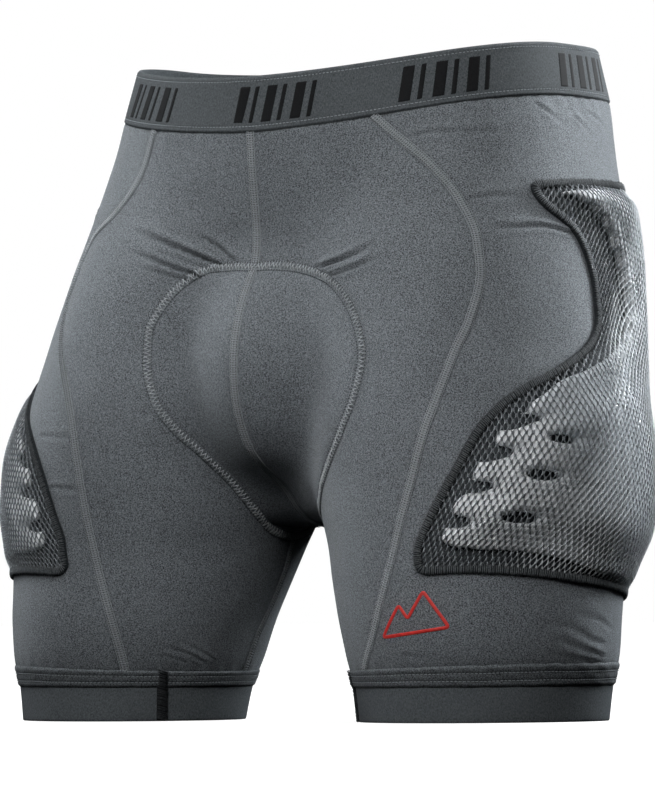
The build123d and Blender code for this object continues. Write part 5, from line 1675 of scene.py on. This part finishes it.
cb = at(WAIST_LOW - 3.0, float(inner_rear(WAIST_LOW - 3.0)), 1); cb[0] = 0
u, w = np.meshgrid(np.linspace(-17, 17, 36), np.linspace(0, -42, 44))
G = on_form(cb + u[..., None]*np.array([1.0, 0, 0]) + w[..., None]*np.array([0, 0, 1.0]), 4)
N = normal(G)
bow = 2.0 + 0.35*np.sin(u/6.0)*np.clip(-w/42, 0, 1) + 0.5*np.clip(-w/42, 0, 1)**2
shell("care_label_loop", G - (bow + 0.35)[..., None]*N, G - bow[..., None]*N, False, u, w, M["label"], "care_label")
note("small pieces ready")


# =====================================================================================
# floor, camera, light
# =====================================================================================
sc = bpy.context.scene


def stage_material(name):
    """Pale floor that glows by emission, brighter away from the object: a painted shadow round the object, fading to a
    painted glow further out.
    """
    mat = bpy.data.materials.new(name)
    nt, p = nodes_of(mat)
    obj = mapping(nt, "Object")
    ln = nt.nodes.new("ShaderNodeVectorMath"); ln.operation = "LENGTH"
    nt.links.new(obj, ln.inputs[0])
    t = math_node(nt, "DIVIDE", math_node(nt, "SUBTRACT", ln.outputs["Value"], 0.25), 0.5)
    f = noise(nt, obj, 3, 2, 0.5)
    nt.links.new(ramp(nt, f, [(0.3, (0.33, 0.33, 0.33, 1)), (0.7, (0.34, 0.34, 0.34, 1))]), p.inputs["Base Color"])
    p.inputs["Roughness"].default_value = 0.9
    p.inputs["Specular IOR Level"].default_value = 0.1
    p.inputs["Emission Color"].default_value = (1, 1, 1, 1)
    cl = nt.nodes.new("ShaderNodeClamp"); nt.links.new(t, cl.inputs[0])
    # emission rises with distance from the object: painted shadow close in, painted glow further out
    nt.links.new(math_node(nt, "ADD", math_node(nt, "MULTIPLY", cl.outputs[0], 0.24), 0.80), p.inputs["Emission Strength"])
    return mat


me = bpy.data.meshes.new("floor")
me.from_pydata([(-60, -60, 0), (60, -60, 0), (60, 60, 0), (-60, 60, 0)], [], [(0, 1, 2, 3)])
floor = bpy.data.objects.new("floor", me)
sc.collection.objects.link(floor)
me.materials.append(stage_material("pale_floor"))
floor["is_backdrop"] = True

T = np.array([0, 0, 200.0]); back = np.array([math.sin(math.radians(35)), -math.cos(math.radians(35)), 0])
C = T + 3600*back; C[2] = 60.0
fwd = unit(T - C); right = unit(np.cross(fwd, [0, 0, 1.0])); up = np.cross(right, fwd)
r = math.radians(0.4)
R_ = right*math.cos(r) - up*math.sin(r); U_ = right*math.sin(r) + up*math.cos(r)
cam = bpy.data.cameras.new("camera")
camo = bpy.data.objects.new("camera", cam)
sc.collection.objects.link(camo)
pos = (C + np.array([0, Y_SHIFT, 0]))/1000
m = Matrix.Identity(4)
for k in range(3):
    m[k][0], m[k][1], m[k][2], m[k][3] = R_[k], U_[k], -fwd[k], pos[k]
camo.matrix_world = m
cam.sensor_fit = "AUTO"; cam.sensor_width = 36.0
cam.lens = 36.0*(3600/0.61)/800
cam.shift_x = -42.5/800; cam.shift_y = -9.9/800
cam.clip_start, cam.clip_end = 0.1, 200
sc.camera = camo


def area(name, loc, target, size, power, color=(1, 1, 1), spread=180.0):
    l = bpy.data.lights.new(name, "AREA")
    l.spread = math.radians(spread)
    l.shape = "RECTANGLE"; l.size, l.size_y = size; l.energy = power; l.color = color
    o = bpy.data.objects.new(name, l)
    sc.collection.objects.link(o)
    o.location = loc
    o.rotation_euler = (Vector(target) - Vector(loc)).to_track_quat("-Z", "Y").to_euler()
    return o


def around(az, dist, z):
    """A place at an angle from the camera's side of the object, clockwise from above."""
    a = math.radians(35 + az)
    return (dist*math.sin(a), -dist*math.cos(a), z)


aim = (0, 0, 0.22)
area("key", around(-15, 1.56, 1.31), aim, (0.7, 0.7), 16.8, (1, 1, 1))
area("key_high", around(-10, 1.56, 1.35), (0, 0, 0.37), (0.5, 0.5), 0.05, (1, 1, 1), 22)
area("key_top", around(-40, 0.80, 1.94), aim, (0.7, 0.7), 9.5, (1, 1, 1))
area("key_left", around(-45, 1.56, 1.31), (-0.12, -0.08, 0.34), (0.5, 0.5), 0.22, (0.97, 0.99, 1), 20)
area("thigh_light", around(-25, 1.6, 0.55), (0.10, -0.10, 0.10), (0.15, 0.15), 0.018, (1, 1, 1), 9)
area("rim_left", around(-122, 1.3, 1.05), (0, 0, 0.30), (0.4, 0.9), 9, (0.93, 0.97, 1))
area("hip_rim", around(-120, 1.3, 1.0), (-0.14, -0.02, 0.35), (0.3, 0.3), 0.11, (0.93, 0.97, 1), 20)
area("rim_right", around(116, 0.95, 0.90), (0.05, 0, 0.30), (0.5, 0.6), 26, (0.93, 0.97, 1))
area("pad_light", around(104, 1.7, 0.75), (0.21, -0.02, 0.24), (0.2, 0.2), 0.10, (0.96, 0.98, 1), 9)
area("back_key", around(172, 1.5, 1.6), (0, 0.05, 0.28), (0.7, 0.7), 2.5, (1, 1, 1))

w = bpy.data.worlds.new("studio")
sc.world = w
w.use_nodes = True
wn = w.node_tree
bg = wn.nodes["Background"]
tc = wn.nodes.new("ShaderNodeTexCoord"); sx = wn.nodes.new("ShaderNodeSeparateXYZ")
wn.links.new(tc.outputs["Generated"], sx.inputs[0])
rise_ = wn.nodes.new("ShaderNodeMapRange")
rise_.inputs["From Min"].default_value = -0.15; rise_.inputs["From Max"].default_value = 0.9
rise_.inputs["To Min"].default_value = 0.001; rise_.inputs["To Max"].default_value = 0.014
wn.links.new(sx.outputs[2], rise_.inputs["Value"])
bg.inputs[0].default_value = (0.97, 0.985, 1, 1)
wn.links.new(rise_.outputs[0], bg.inputs[1])
bright = wn.nodes.new("ShaderNodeBackground")
bright.inputs[0].default_value = (1, 1, 1, 1); bright.inputs[1].default_value = 1.0
lp = wn.nodes.new("ShaderNodeLightPath"); mx = wn.nodes.new("ShaderNodeMixShader")
wn.links.new(lp.outputs["Is Camera Ray"], mx.inputs[0])
wn.links.new(bg.outputs[0], mx.inputs[1]); wn.links.new(bright.outputs[0], mx.inputs[2])
wn.links.new(mx.outputs[0], wn.nodes["World Output"].inputs[0])
# the floor glows by its own emission, painted light: it shows pale, but throws little light up under the legs
floor.visible_diffuse = False
floor.visible_glossy = False
sc.view_settings.view_transform = "Standard"
sc.view_settings.look = "None"

for n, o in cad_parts.items():
    if not o.hide_render:
        print("still showing:", n)
vis_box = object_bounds()
note("done", [round(float(b - a), 4) for a, b in zip(*vis_box)])
